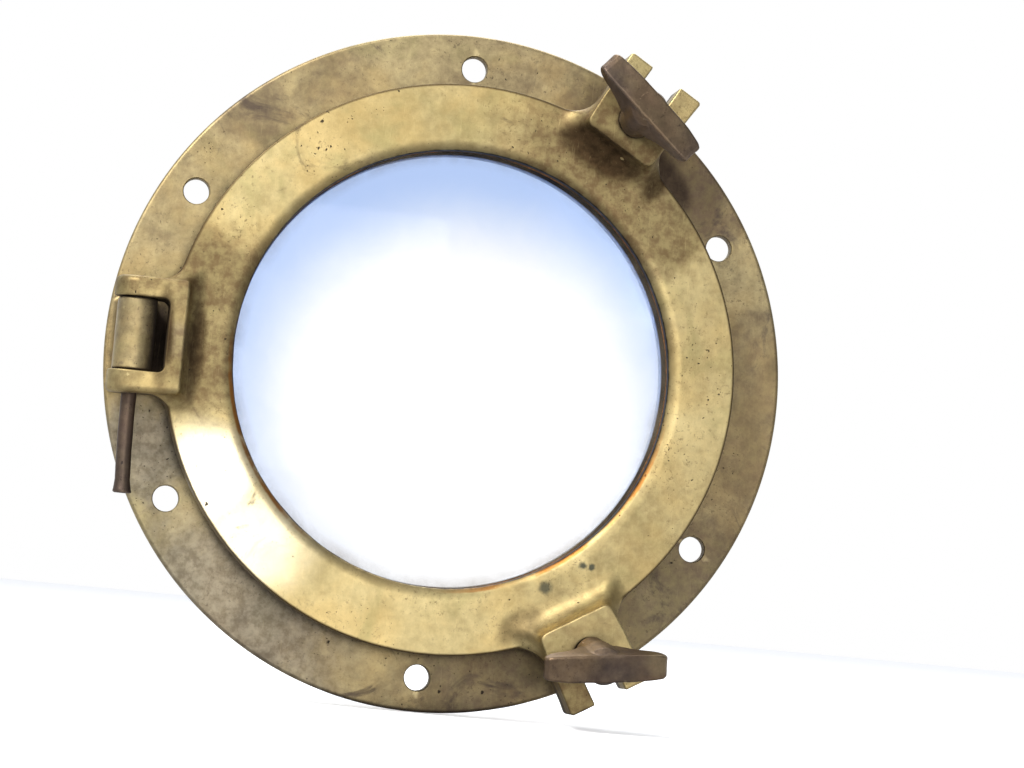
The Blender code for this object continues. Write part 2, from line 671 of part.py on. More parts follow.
def dog_nut(name, dog):
    """A half-moon nut: a flat-topped plate with an arched underside, on a round hub."""
    half_profile = [
        (NUT_HALF_LENGTH - 2.6 * MM, 0.0),
        (NUT_HALF_LENGTH - 0.8 * MM, 0.7 * MM),
        (NUT_HALF_LENGTH, 2.4 * MM),
        (NUT_HALF_LENGTH - 0.2 * MM, 4.6 * MM),
        (NUT_HALF_LENGTH - 1.8 * MM, 6.6 * MM),
        (NUT_HALF_LENGTH - 5.0 * MM, 8.1 * MM),
        (NUT_HALF_LENGTH - 9.5 * MM, 9.7 * MM),
        (NUT_HALF_LENGTH - 13.5 * MM, 11.6 * MM),
        (NUT_HALF_LENGTH - 16.6 * MM, 13.8 * MM),
        (NUT_BOSS_RADIUS, NUT_BOSS_DEPTH - 0.9 * MM),
    ]
    profile = half_profile + [(-x, depth) for x, depth in reversed(half_profile)]
    edge = 0.9 * MM
    rings = []
    for y, inset in (
        (-NUT_HALF_WIDTH, edge),
        (-NUT_HALF_WIDTH + edge, 0.0),
        (NUT_HALF_WIDTH - edge, 0.0),
        (NUT_HALF_WIDTH, edge),
    ):
        ring = []
        for x, depth in profile:
            shrink = 1.0 - inset / NUT_HALF_LENGTH
            middle = 8.0 * MM
            depth_in = middle + (depth - middle) * (1.0 - inset / (8.0 * MM))
            ring.append(Vector((x * shrink, y, -depth_in)))
        rings.append(ring)
    nut = lofted(name, rings)
    hub = lathed(
        "hub",
        [
            (NUT_HUB_RADIUS - 0.8 * MM, -NUT_DEPTH),
            (NUT_HUB_RADIUS, -NUT_DEPTH + 0.8 * MM),
            (NUT_HUB_RADIUS, -NUT_BOSS_DEPTH),
            (NUT_BOSS_RADIUS, -NUT_BOSS_DEPTH + 1.2 * MM),
            (NUT_BOSS_RADIUS, -4.4 * MM),
            (NUT_HALF_WIDTH - 0.2 * MM, -1.0 * MM),
        ],
        SMALL_CIRCLE,
    )
    combine(nut, hub, "UNION")
    bore = lathed("bore", [(NUT_BORE_RADIUS, -30.0 * MM), (NUT_BORE_RADIUS, -NUT_CROWN)], 24)
    combine(nut, bore, "DIFFERENCE")
    nut = finish(nut, name, BRASS_DARK)
    pivot, matrix = dog_axes(dog)
    top = pivot + matrix.to_3x3() @ Vector((0.0, 0.0, NUT_TOP_DISTANCE))
    place_at(nut, top, matrix @ Matrix.Rotation(dog["turn"], 4, "Z"))
    return nut


def build():
    for obj in list(bpy.data.objects):
        bpy.data.objects.remove(obj, do_unlink=True)
    hinge_point = point(HINGE_X, 0.0, HINGE_HEIGHT)
    main_frame()
    glass_frame(hinge_point)
    glazing(hinge_point)
    retaining_screws(hinge_point)
    hinge_pin(hinge_point)
    for name, dog in DOGS.items():
        swing_bolt(f"swing_bolt_{name}", dog)
        pivot_pin(f"dog_pivot_pin_{name}", dog)
        dog_nut(f"dog_nut_{name}", dog)


build()
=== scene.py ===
"""The looks of the opening porthole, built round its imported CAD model.

Shapes are worked out in millimetres. A place on the porthole is (u, v, h): u and v lie in the
flange's plane, turned by an angle about the porthole's axis, and h is the height in front of the
flange's front face. Meshes are written in metres in the CAD model's own frame.
"""
import math

import bpy
import numpy as np
from mathutils import Matrix, Vector


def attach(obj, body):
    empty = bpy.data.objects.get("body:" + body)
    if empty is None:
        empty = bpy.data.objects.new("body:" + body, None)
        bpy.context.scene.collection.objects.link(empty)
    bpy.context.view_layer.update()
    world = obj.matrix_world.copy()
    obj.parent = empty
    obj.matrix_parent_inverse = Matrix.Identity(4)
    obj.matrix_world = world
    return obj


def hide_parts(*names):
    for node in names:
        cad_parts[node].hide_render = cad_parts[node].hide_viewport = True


MM = 0.001

# main frame
FLANGE_THICKNESS = 6.5
FLANGE_RADIUS = 152.4
FLANGE_EDGE = 1.5
BOLT_CIRCLE_RADIUS = 137.15
BOLT_HOLE_RADIUS = 5.75
BOLT_ANGLES = [math.radians(30 + 60 * i) for i in range(6)]
TUBE_BORE_RADIUS = 104.0
TUBE_OUTER_RADIUS = 110.0
TUBE_LENGTH = 30.0
COLLAR_RADIUS = 121.0
COLLAR_BORE_RADIUS = 110.4
COLLAR_HEIGHT = 7.0
COLLAR_LEDGE = -3.0
BEAD_RADIUS = 115.0
BEAD_HALF_WIDTH = 2.0
BEAD_TOP = 9.7

# glass frame
RING_RADIUS = 126.3
RING_FRONT = 24.8
RING_BACK = 9.8
RIM_ROUND = 0.6
SIGHT_RADIUS = 96.8
LIP_ROUND_RUN = 6.0
LIP_ROUND_DROP = 2.8
LIP_BACK = 18.8
REBATE_RADIUS = 103.4
BARREL_RADIUS = 109.0
BARREL_BACK = 4.6
GROOVE_INNER_RADIUS = 111.6
GROOVE_OUTER_RADIUS = 118.4
GROOVE_FLOOR = 13.0

# glazing
GLASS_RADIUS = 102.8
GLASS_FRONT = 17.1
GLASS_BACK = 8.6
RETAINER_INNER_RADIUS = 96.2
RETAINER_OUTER_RADIUS = 108.4
RETAINER_SPIGOT_RADIUS = 103.0
RETAINER_BACK = 1.6
RETAINER_STEP = 4.3
RETAINER_TOP = 7.4
SCREW_CIRCLE_RADIUS = 106.1
SCREW_SHANK_RADIUS = 1.6
SCREW_HEAD_RADIUS = 2.9
SCREW_HEAD_BACK = -0.6
SCREW_HEAD_SEAT = 1.3
SCREW_TIP = 11.5
SCREW_HOLE_RADIUS = SCREW_SHANK_RADIUS + 0.3
SCREW_ANGLES = [2.0 * math.pi * i / 6 for i in range(6)]

# hinge
HINGE_X = -140.0
HINGE_HEIGHT = 24.0
KNUCKLE_RADIUS = 8.5
KNUCKLE_BOTTOM = -15.1
KNUCKLE_TOP = 16.3
PIN_RADIUS = 3.3
PIN_HOLE_RADIUS = 3.65
PIN_TOP = 25.4
PIN_BOTTOM = -68.6
PIN_FLARE_RADIUS = 4.1
PIN_BEND = 1.2
CLEVIS_HALF_HEIGHT = 25.7
CLEVIS_GAP_BOTTOM = -15.5
CLEVIS_GAP_TOP = 16.7
CLEVIS_ROUND = 10.5
CLEVIS_WEB_OUTER = -126.3
CLEVIS_WEB_INNER = -118.6
CLEVIS_FILLET = 8.0

# dogs
DOG_ANGLE = math.radians(59.4)
PIVOT_RADIUS = 128.5
PIVOT_HEIGHT = 7.0
EAR_RADIUS = 7.0
EAR_INNER = 6.8
EAR_OUTER = 13.8
PIVOT_PIN_RADIUS = 3.0
PIVOT_PIN_HALF_LENGTH = 14.6
PIVOT_HOLE_RADIUS = 3.3
FORK_TOP = 37.5
FORK_BOTTOM = 17.0
FORK_INNER = 121.8
FORK_TIP = 159.6
FORK_HALF_WIDTH_INNER = 17.3
FORK_HALF_WIDTH_TIP = 19.1
FORK_FILLET = 12.0
SLOT_HALF_WIDTH = 7.5
POCKET_HALF_WIDTH = 15.0
POCKET_INNER = 120.3
POCKET_OUTER = 140.0
POCKET_TOP = 15.3
EYE_RADIUS = 6.5
EYE_HALF_WIDTH = 6.4
SHANK_RADIUS = 4.8
THREAD_DEPTH = 0.62
THREAD_PITCH = 1.6
NUT_BORE_RADIUS = 5.1
NUT_TOP_DISTANCE = 61.4
NUT_DEPTH = 27.0
NUT_CROWN = 4.0
NUT_HALF_LENGTH = 27.6
NUT_HALF_WIDTH = 6.1
NUT_HUB_RADIUS = 7.3
NUT_BOSS_RADIUS = 8.4
NUT_BOSS_DEPTH = 17.0
DOGS = {
    "upper": {"angle": DOG_ANGLE, "lean": math.radians(9.4), "turn": math.radians(-12.0)},
    "lower": {"angle": -DOG_ANGLE, "lean": math.radians(15.6), "turn": math.radians(-25.5)},
}

ROUND = 480  # facets round the large turned pieces
HAIR = 0.006  # how far a cast lug's own skin lies under the turned surface it grows from
ROW = 3.2  # longest side of a turned profile before it is divided
GRIDS = {  # cast shape: lowest and highest corner of the box it is sampled in, and the grid's step
    "knuckle": ((-153.6, -19.5, -0.8), (-126.5, 20.5, 33.4), 0.45),
    "ears": ((116.0, -16.5, -0.8), (138.5, 16.5, 15.2), 0.4),
    "clevis": ((-151.4, -38.5, 9.3), (-105.0, 38.5, 35.4), 0.5),
    "fork": ((106.0, -38.0, 9.3), (160.8, 38.0, 38.4), 0.5),
    "eye": ((-7.2, -7.2, -7.2), (7.2, 7.2, 15.6), 0.4),
    "nut": ((-28.8, -9.4, -27.8), (28.8, 9.4, 0.8), 0.4),
}
FLOOR_Z = -0.1527  # in metres, just under the flange
SLOPE_STEP = 0.02  # reach of the differences that give a field's slope


# places


def flange_place(angle, radius=0.0):
    """A function that takes rows of (u, v, h) in millimetres to the model's frame in metres.

    The origin of u and v is at this radius from the porthole's axis.
    """
    c, s = math.cos(angle), math.sin(angle)

    def place(points):
        u, v, h = points[:, 0] + radius, points[:, 1], points[:, 2]
        return np.stack([u * c - v * s, -(FLANGE_THICKNESS + h), u * s + v * c], 1) * MM

    return place


def dog_matrix(dog):
    """X along the pivot pin, Z out along the leaning bolt, and the origin on the pivot, in mm."""
    c, s = math.cos(dog["angle"]), math.sin(dog["angle"])
    radial = Vector((c, 0.0, s))
    tangential = Vector((-s, 0.0, c))
    along = Vector((0.0, -math.cos(dog["lean"]), 0.0)) + radial * math.sin(dog["lean"])
    matrix = Matrix((tangential, along.cross(tangential), along)).transposed().to_4x4()
    matrix.translation = radial * PIVOT_RADIUS
    matrix.translation.y = -(FLANGE_THICKNESS + PIVOT_HEIGHT)
    return matrix


def matrix_place(matrix):
    """A function that takes rows in millimetres through a matrix to the model's frame in metres."""
    m = np.array(matrix)

    def place(points):
        return (points @ m[:3, :3].T + m[:3, 3]) * MM

    return place


# meshes


def piece(name, mesh, body, node, material, sharp=None):
    """Put a finished mesh on its body, in place of its CAD node."""
    mesh.name = name
    obj = linked(name, mesh)
    mesh.materials.clear()
    mesh.materials.append(material)
    mesh.shade_smooth()
    if sharp is not None:
        mesh.set_sharp_from_angle(angle=math.radians(sharp))
    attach(obj, body)
    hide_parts(node)


def linked(name, data):
    """A new object in the scene."""
    obj = bpy.data.objects.new(name, data)
    bpy.context.scene.collection.objects.link(obj)
    return obj


def raw_mesh(name, points, faces):
    """A mesh from points in metres and rows of point numbers."""
    mesh = bpy.data.meshes.new(name)
    mesh.from_pydata(points.tolist(), [], [list(map(int, face)) for face in faces])
    mesh.validate()
    mesh.update()
    return mesh


def corner_round(before, corner, after, radius, steps=5):
    """Points that round off one corner of a profile."""
    a, b, c = Vector(before), Vector(corner), Vector(after)
    to_a = (a - b).normalized()
    to_c = (c - b).normalized()
    half = to_a.angle(to_c) / 2.0
    reach = radius / math.tan(half)
    centre = b + (to_a + to_c).normalized() * (radius / math.sin(half))
    first = b + to_a * reach - centre
    turn = math.copysign(math.pi - 2.0 * half, to_c.cross(to_a))
    start = math.atan2(first.y, first.x)
    points = []
    for k in range(steps + 1):
        angle = start + turn * k / steps
        points.append((centre.x + radius * math.cos(angle), centre.y + radius * math.sin(angle)))
    return points


def softened(profile, radii):
    """A closed profile with the corners named in radii, index to radius, rounded off."""
    result = []
    count = len(profile)
    for i, corner in enumerate(profile):
        if radii.get(i):
            result += corner_round(profile[i - 1], corner, profile[(i + 1) % count], radii[i])
        else:
            result.append(corner)
    return result


def braced(profile, reach=0.35):
    """The same closed profile, its long sides divided, closely at both their ends."""
    result = []
    for i, here in enumerate(profile):
        after = profile[(i + 1) % len(profile)]
        length = math.dist(here, after)
        shares = [0.0]
        if length > 8.0 * reach:
            rows = math.ceil(length / ROW)
            shares += [reach / length] + [k / rows for k in range(1, rows)] + [1.0 - reach / length]
        for share in shares:
            result.append(tuple(a + (b - a) * share for a, b in zip(here, after)))
    return result


def turned(name, profile, segments=ROUND, wobble=None):
    """A ring from a closed profile of (radius, height) about the porthole's axis."""
    profile = np.array(braced(profile), float)
    if signed_area(profile) < 0.0:
        profile = profile[::-1]
    count = len(profile)
    rows = []
    for a in circle(segments):
        radius = profile[:, 0] + (wobble(a, profile) if wobble else 0.0)
        rows.append(np.stack([radius * math.cos(a), radius * math.sin(a), profile[:, 1]], 1))
    points = flange_place(0.0)(np.concatenate(rows))
    i, j = np.meshgrid(np.arange(segments), np.arange(count), indexing="ij")
    i, j = i.ravel(), j.ravel()
    i2, j2 = (i + 1) % segments, (j + 1) % count
    faces = np.stack([i * count + j, i * count + j2, i2 * count + j2, i2 * count + j], 1)
    return raw_mesh(name, points, faces[:, ::-1])


def circle(segments):
    """Evenly spaced angles round a circle."""
    return np.arange(segments) * 2.0 * math.pi / segments


def signed_area(profile):
    """Area of a closed outline, positive where it runs anticlockwise."""
    x, y = profile[:, 0], profile[:, 1]
    return 0.5 * float(np.sum(x * np.roll(y, -1) - np.roll(x, -1) * y))


def stacked_rings(name, rings, place):
    """A closed solid over a pile of rings that all have the same number of points."""
    segments = len(rings[0])
    faces = [list(range(segments))[::-1]]
    faces.append([(len(rings) - 1) * segments + i for i in range(segments)])
    for k in range(len(rings) - 1):
        for i in range(segments):
            i2 = (i + 1) % segments
            low, high = k * segments, (k + 1) * segments
            faces.append([low + i, low + i2, high + i2, high + i])
    return raw_mesh(name, place(np.concatenate(rings)), faces)


def lathed(name, profile, segments, place, bend=None):
    """A solid of (radius, z) points turned about its own Z axis, its two ends closed."""
    angles = circle(segments)
    rings = []
    for radius, z in np.array(profile, float):
        shift = bend(z) if bend else 0.0
        ring = [np.cos(angles) * radius + shift, np.sin(angles) * radius, np.full(segments, z)]
        rings.append(np.stack(ring, 1))
    return stacked_rings(name, rings, place)


def cut(mesh, cutters):
    """Take some closed meshes out of a mesh."""
    target = linked("target", mesh)
    for cutter in cutters:
        tool = linked("tool", cutter)
        modifier = target.modifiers.new("cut", "BOOLEAN")
        modifier.operation = "DIFFERENCE"
        modifier.solver = "EXACT"
        modifier.object = tool
        depsgraph = bpy.context.evaluated_depsgraph_get()
        target.data = bpy.data.meshes.new_from_object(target.evaluated_get(depsgraph))
        target.modifiers.clear()
        bpy.data.objects.remove(tool, do_unlink=True)
    result = target.data
    bpy.data.objects.remove(target, do_unlink=True)
    return result


def rectangle(low, high, half_width):
    """The outline of a bar along u, even about its middle line."""
    return [(low, -half_width), (high, -half_width), (high, half_width), (low, half_width)]


def prism(name, outline, low, high, place):
    """A straight prism over an outline of (u, v) points."""
    count = len(outline)
    points = [(u, v, h) for h in (low, high) for u, v in outline]
    faces = [list(range(count))[::-1], list(range(count, 2 * count))]
    for i in range(count):
        j = (i + 1) % count
        faces.append([i, j, count + j, count + i])
    return raw_mesh(name, place(np.array(points, float)), faces)


# cast shapes, as distance fields: negative inside, in millimetres


def round_union(a, b, radius):
    """Join two shapes with a concave fillet."""
    u = np.maximum(radius - a, 0.0)
    v = np.maximum(radius - b, 0.0)
    return np.maximum(radius, np.minimum(a, b)) - np.hypot(u, v)


def round_meet(a, b, radius):
    """What two shapes share, with the new edge rounded."""
    u = np.maximum(radius + a, 0.0)
    v = np.maximum(radius + b, 0.0)
    return np.minimum(-radius, np.maximum(a, b)) + np.hypot(u, v)


def mitre_meet(a, b, width):
    """What two shapes share, with an edge as narrow far outside the shapes as on them."""
    near = np.maximum(width - np.abs(a - b), 0.0)
    return np.maximum(a, b) + near * near / (4.0 * width)


def round_cut(a, b, radius):
    """The first shape less the second, with the new edge rounded."""
    return round_meet(a, -b, radius)


def outline_distance(x, y, corners):
    """Distance to a closed outline, negative inside it."""
    nearest = np.full(x.shape, 1e9)
    inside = np.zeros(x.shape, bool)
    count = len(corners)
    for i in range(count):
        ax, ay = corners[i - 1]
        bx, by = corners[i]
        ex, ey = bx - ax, by - ay
        wx, wy = x - ax, y - ay
        t = np.clip((wx * ex + wy * ey) / (ex * ex + ey * ey), 0.0, 1.0)
        nearest = np.minimum(nearest, (wx - ex * t) ** 2 + (wy - ey * t) ** 2)
        crossing = (ay > y) != (by > y)
        step = ey if ey != 0.0 else 1e-9
        inside ^= crossing & (x < ex * wy / step + ax)
    return np.where(inside, -1.0, 1.0) * np.sqrt(nearest)


def ripple(x, y, z, length, depth):
    """The slow unevenness of a hand-dressed casting."""
    k = 2.0 * math.pi / length
    a = np.sin(k * x + 1.3 * np.sin(k * 0.7 * y) + 0.4)
    b = np.sin(k * 1.31 * y + 1.1 * np.sin(k * 0.6 * z) + 2.1)
    c = np.sin(k * 0.87 * z + 1.2 * np.sin(k * 0.8 * x) + 4.2)
    return depth * (a + b + c) / 3.0


def skin(shape_name, field, place):
    """The mesh of a field's surface inside its box, with its exact normals."""
    low, high, cell = GRIDS[shape_name]
    low = np.array(low, float)
    axes = [np.arange(a, b + cell, cell) for a, b in zip(low, high)]
    shape = [len(a) for a in axes]
    value = field(*np.meshgrid(*axes, indexing="ij"))
    sums = np.zeros([n - 1 for n in shape] + [3])
    counts = np.zeros([n - 1 for n in shape])
    edges = []
    for axis in range(3):
        near = np.take(value, range(shape[axis] - 1), axis)
        far = np.take(value, range(1, shape[axis]), axis)
        crossing = (near < 0.0) != (far < 0.0)
        share = np.where(crossing, near / np.where(crossing, near - far, 1.0), 0.0)
        edges.append((near, crossing))
        first, second = [a for a in range(3) if a != axis]
        for i in (0, 1):
            for j in (0, 1):
                window = [slice(None)] * 3
                window[first] = slice(i, shape[first] - 1 + i)
                window[second] = slice(j, shape[second] - 1 + j)
                hit = crossing[tuple(window)]
                counts += hit
                sums[..., axis] += share[tuple(window)] * hit
                sums[..., first] += i * hit
                sums[..., second] += j * hit
    active = counts > 0
    number = np.full(active.shape, -1)
    number[active] = np.arange(int(active.sum()))
    corner = np.stack(np.nonzero(active), 1)
    points = low + (corner + sums[active] / counts[active][:, None]) * cell

    faces = []
    for axis in range(3):
        near, crossing = edges[axis]
        first, second = (axis + 1) % 3, (axis + 2) % 3
        index = np.stack(np.nonzero(crossing), 1)
        keep = (index[:, first] > 0) & (index[:, first] < shape[first] - 1)
        keep &= (index[:, second] > 0) & (index[:, second] < shape[second] - 1)
        index = index[keep]
        quad = []
        for a, b in ((-1, -1), (0, -1), (0, 0), (-1, 0)):
            at = index.copy()
            at[:, first] += a
            at[:, second] += b
            quad.append(number[at[:, 0], at[:, 1], at[:, 2]])
        quad = np.stack(quad, 1)
        outward = near[index[:, 0], index[:, 1], index[:, 2]] < 0.0
        faces.append(np.where(outward[:, None], quad, quad[:, ::-1]))
    faces = np.concatenate(faces)

    for _ in range(4):
        distance, slope = level_and_slope(field, points)
        step = distance / np.maximum((slope**2).sum(1), 0.1)
        points = points - np.clip(step[:, None] * slope, -0.4 * cell, 0.4 * cell)
    slope = level_and_slope(field, points)[1]
    mesh = raw_mesh(shape_name, place(points), faces)
    turn = place(slope) - place(np.zeros((1, 3)))
    turn /= np.linalg.norm(turn, axis=1)[:, None]
    mesh.shade_smooth()
    mesh.normals_split_custom_set_from_vertices(turn.tolist())
    return mesh


def level_and_slope(field, points):
    """A field's value and its gradient at some points."""
    slopes = []
    for reach in np.eye(3) * SLOPE_STEP:
        slopes.append(field(*(points + reach).T) - field(*(points - reach).T))
    return field(*points.T), np.stack(slopes, 1) / (2.0 * SLOPE_STEP)


def ring_stock(u, v, h):
    """The glass frame's rim, a hair under its turned surface."""
    rim = round_meet(np.hypot(u, v) - RING_RADIUS, h - RING_FRONT, RIM_ROUND)
    return np.maximum(rim, RING_BACK - h) + HAIR


def clear_of_groove(solid, u, v, h):
    """A lug's field kept out of the gasket's groove, whose walls are the turned ring's."""
    around = np.hypot(u, v)
    sides = np.maximum(GROOVE_INNER_RADIUS - 0.5 - around, around - GROOVE_OUTER_RADIUS - 0.5)
    return np.maximum(solid, -np.maximum(sides, h - GROOVE_FLOOR - 0.3))


def slot_inner_end(h, lean):
    """Radius of the fork slot's inner end, which leans as far as its bolt."""
    bolt_side = SHANK_RADIUS / math.cos(lean) + 0.35
    return PIVOT_RADIUS + (h - PIVOT_HEIGHT) * math.tan(lean) - bolt_side


def fork_field(u, v, h, lean):
    """A dog fork grown out of the rim with wide fillets, with its slot and the ears' pocket."""
    widen = (FORK_HALF_WIDTH_TIP - FORK_HALF_WIDTH_INNER) / (FORK_TIP - FORK_INNER)
    sides = np.abs(v) - (FORK_HALF_WIDTH_INNER + (u - FORK_INNER) * widen)
    plan = round_meet(mitre_meet(sides, FORK_INNER - u, 3.6), u - FORK_TIP, 1.6)
    uneven = ripple(u, v, h, 17.0, 0.16)
    lug = round_meet(plan + uneven, np.maximum(h - FORK_TOP, FORK_BOTTOM - h) + 0.6 * uneven, 0.9)
    body = round_union(ring_stock(u, v, h), lug, FORK_FILLET)
    body = np.maximum(body, RING_BACK + HAIR - h)
    centre = slot_inner_end(h, lean) + SLOT_HALF_WIDTH
    slot = np.hypot(np.minimum(u - centre, 0.0), v) - SLOT_HALF_WIDTH
    body = round_cut(body, slot, 0.8)
    middle = (POCKET_INNER + POCKET_OUTER) / 2.0
    across = np.maximum(np.abs(u - middle) - (POCKET_OUTER - middle), np.abs(v) - POCKET_HALF_WIDTH)
    body = round_cut(body, np.maximum(across, h - POCKET_TOP), 0.6)
    return clear_of_groove(body, u, v, h)


def clevis_field(x, z, h):
    """The hinge clevis: two ears on a web that stands up from the rim."""
    ears = from_hinge(x, h) - CLEVIS_ROUND
    top = round_meet(x - CLEVIS_WEB_INNER, h - HINGE_HEIGHT - CLEVIS_ROUND, 1.1)
    block = np.maximum(np.maximum(HINGE_X - x, HINGE_HEIGHT - CLEVIS_ROUND - h), top)
    rise = 0.05 * (x - HINGE_X + CLEVIS_ROUND)
    uneven = ripple(x, z, h, 19.0, 0.14)
    ends = np.maximum(z - CLEVIS_HALF_HEIGHT, -CLEVIS_HALF_HEIGHT + rise - z)
    solid = mitre_meet(np.minimum(ears, block) + 0.6 * uneven, ends + uneven, 3.2)
    body = round_union(ring_stock(x, z, h), solid, CLEVIS_FILLET)
    body = np.maximum(body, RING_BACK + HAIR - h)
    middle = (CLEVIS_GAP_BOTTOM + CLEVIS_GAP_TOP) / 2.0
    gap = round_meet(x - CLEVIS_WEB_OUTER, np.abs(z - middle) - (CLEVIS_GAP_TOP - middle), 3.0)
    body = round_cut(body, gap, 0.7)
    body = round_cut(body, from_hinge(x, h) - PIN_HOLE_RADIUS, 0.35)
    return clear_of_groove(body, x, z, h)


def from_hinge(x, h):
    """Distance from the hinge's axis."""
    return np.hypot(x - HINGE_X, h - HINGE_HEIGHT)


def from_pivot(u, h):
    """Distance from the axis of a dog's pivot pin."""
    return np.hypot(u - PIVOT_RADIUS, h - PIVOT_HEIGHT)


def flange_stock(u, v, h):
    """The flange, a hair under its turned surface."""
    return round_meet(np.hypot(u, v) - FLANGE_RADIUS, h, FLANGE_EDGE) + HAIR


def knuckle_field(x, z, h):
    """The main frame's hinge knuckle on its neck."""
    barrel = from_hinge(x, h) - KNUCKLE_RADIUS
    neck = np.maximum(np.abs(x - HINGE_X) - KNUCKLE_RADIUS, h - HINGE_HEIGHT)
    middle = (KNUCKLE_BOTTOM + KNUCKLE_TOP) / 2.0
    ends = np.abs(z - middle) - (KNUCKLE_TOP - middle)
    uneven = ripple(x, z, h, 13.0, 0.12)
    solid = round_meet(np.minimum(barrel, neck) + uneven, ends, 1.0)
    body = round_union(flange_stock(x, z, h), solid, 2.5)
    return round_cut(body, from_hinge(x, h) - PIN_HOLE_RADIUS, 0.4)


def ears_field(u, v, h):
    """The two ears that hold a dog's pivot pin, cast onto the flange and the collar."""
    collar = np.maximum(np.hypot(u, v) - COLLAR_RADIUS, h - COLLAR_HEIGHT) + HAIR
    stock = np.minimum(flange_stock(u, v, h), collar)
    cheek = from_pivot(u, h) - EAR_RADIUS
    foot = np.maximum(np.maximum(COLLAR_RADIUS - 1.0 - u, u - PIVOT_RADIUS - EAR_RADIUS), h - PIVOT_HEIGHT)
    middle = (EAR_INNER + EAR_OUTER) / 2.0
    solid = round_meet(np.minimum(cheek, foot), np.abs(np.abs(v) - middle) - (EAR_OUTER - middle), 0.8)
    body = round_union(stock, solid, 0.8)
    return round_cut(body, from_pivot(u, h) - PIVOT_HOLE_RADIUS, 0.3)


def eye_field(x, y, z):
    """A swing bolt's eye with the plain root of its shank."""
    eye = round_meet(np.hypot(y, z) - EYE_RADIUS, np.abs(x) - EYE_HALF_WIDTH, 0.9)
    shank = np.maximum(np.hypot(x, y) - (SHANK_RADIUS - THREAD_DEPTH + 0.1), np.maximum(-z, z - 15.0))
    return round_cut(round_union(eye, shank, 1.6), np.hypot(y, z) - PIVOT_HOLE_RADIUS, 0.3)


NUT_UNDERSIDE = [  # (distance from the middle, depth below the top), from an end to the hub
    (NUT_HALF_LENGTH - 1.6, 1.6),
    (NUT_HALF_LENGTH - 0.2, 3.0),
    (NUT_HALF_LENGTH, 4.6),
    (NUT_HALF_LENGTH - 0.8, 6.2),
    (NUT_HALF_LENGTH - 2.6, 7.4),
    (NUT_HALF_LENGTH - 5.6, 8.4),
    (NUT_HALF_LENGTH - 9.5, 9.7),
    (NUT_HALF_LENGTH - 13.5, 11.6),
    (NUT_HALF_LENGTH - 16.6, 13.8),
    (NUT_BOSS_RADIUS - 0.4, NUT_BOSS_DEPTH - 0.7),
]


def nut_field(x, y, z):
    """A half-moon nut: crowned plate, arched underside, round hub with a blind bore."""
    top = [(s, 1.6 * (s / NUT_HALF_LENGTH) ** 2.4) for s in (0.0, 6.0, 12.0, 17.0, 21.0, 24.5)]
    half = top + NUT_UNDERSIDE
    corners = half + [(-s, depth) for s, depth in reversed(half[1:])]
    depth = -z
    uneven = ripple(x, y, z, 15.0, 0.22)
    plate = outline_distance(x, depth, corners)
    thin = NUT_HALF_WIDTH - 0.5 * (x / NUT_HALF_LENGTH) ** 2 - 0.9 * (x / NUT_HALF_LENGTH) ** 8
    plate = round_meet(plate + uneven, np.abs(y) - thin + 0.7 * uneven, 1.15)
    around = np.hypot(x, y)
    hub = round_meet(around - NUT_HUB_RADIUS, np.maximum(depth - NUT_DEPTH, 2.0 - depth), 1.0)
    ledge = 0.6 + 1.6 * np.maximum(around - NUT_HALF_WIDTH, 0.0)
    boss = round_meet(around - NUT_BOSS_RADIUS, np.maximum(depth - NUT_BOSS_DEPTH, ledge - depth), 0.8)
    body = round_union(round_union(plate, boss, 1.0), hub, 0.5)
    bore = np.maximum(around - NUT_BORE_RADIUS, NUT_CROWN - depth)
    return round_cut(body, bore, 0.4)


# materials


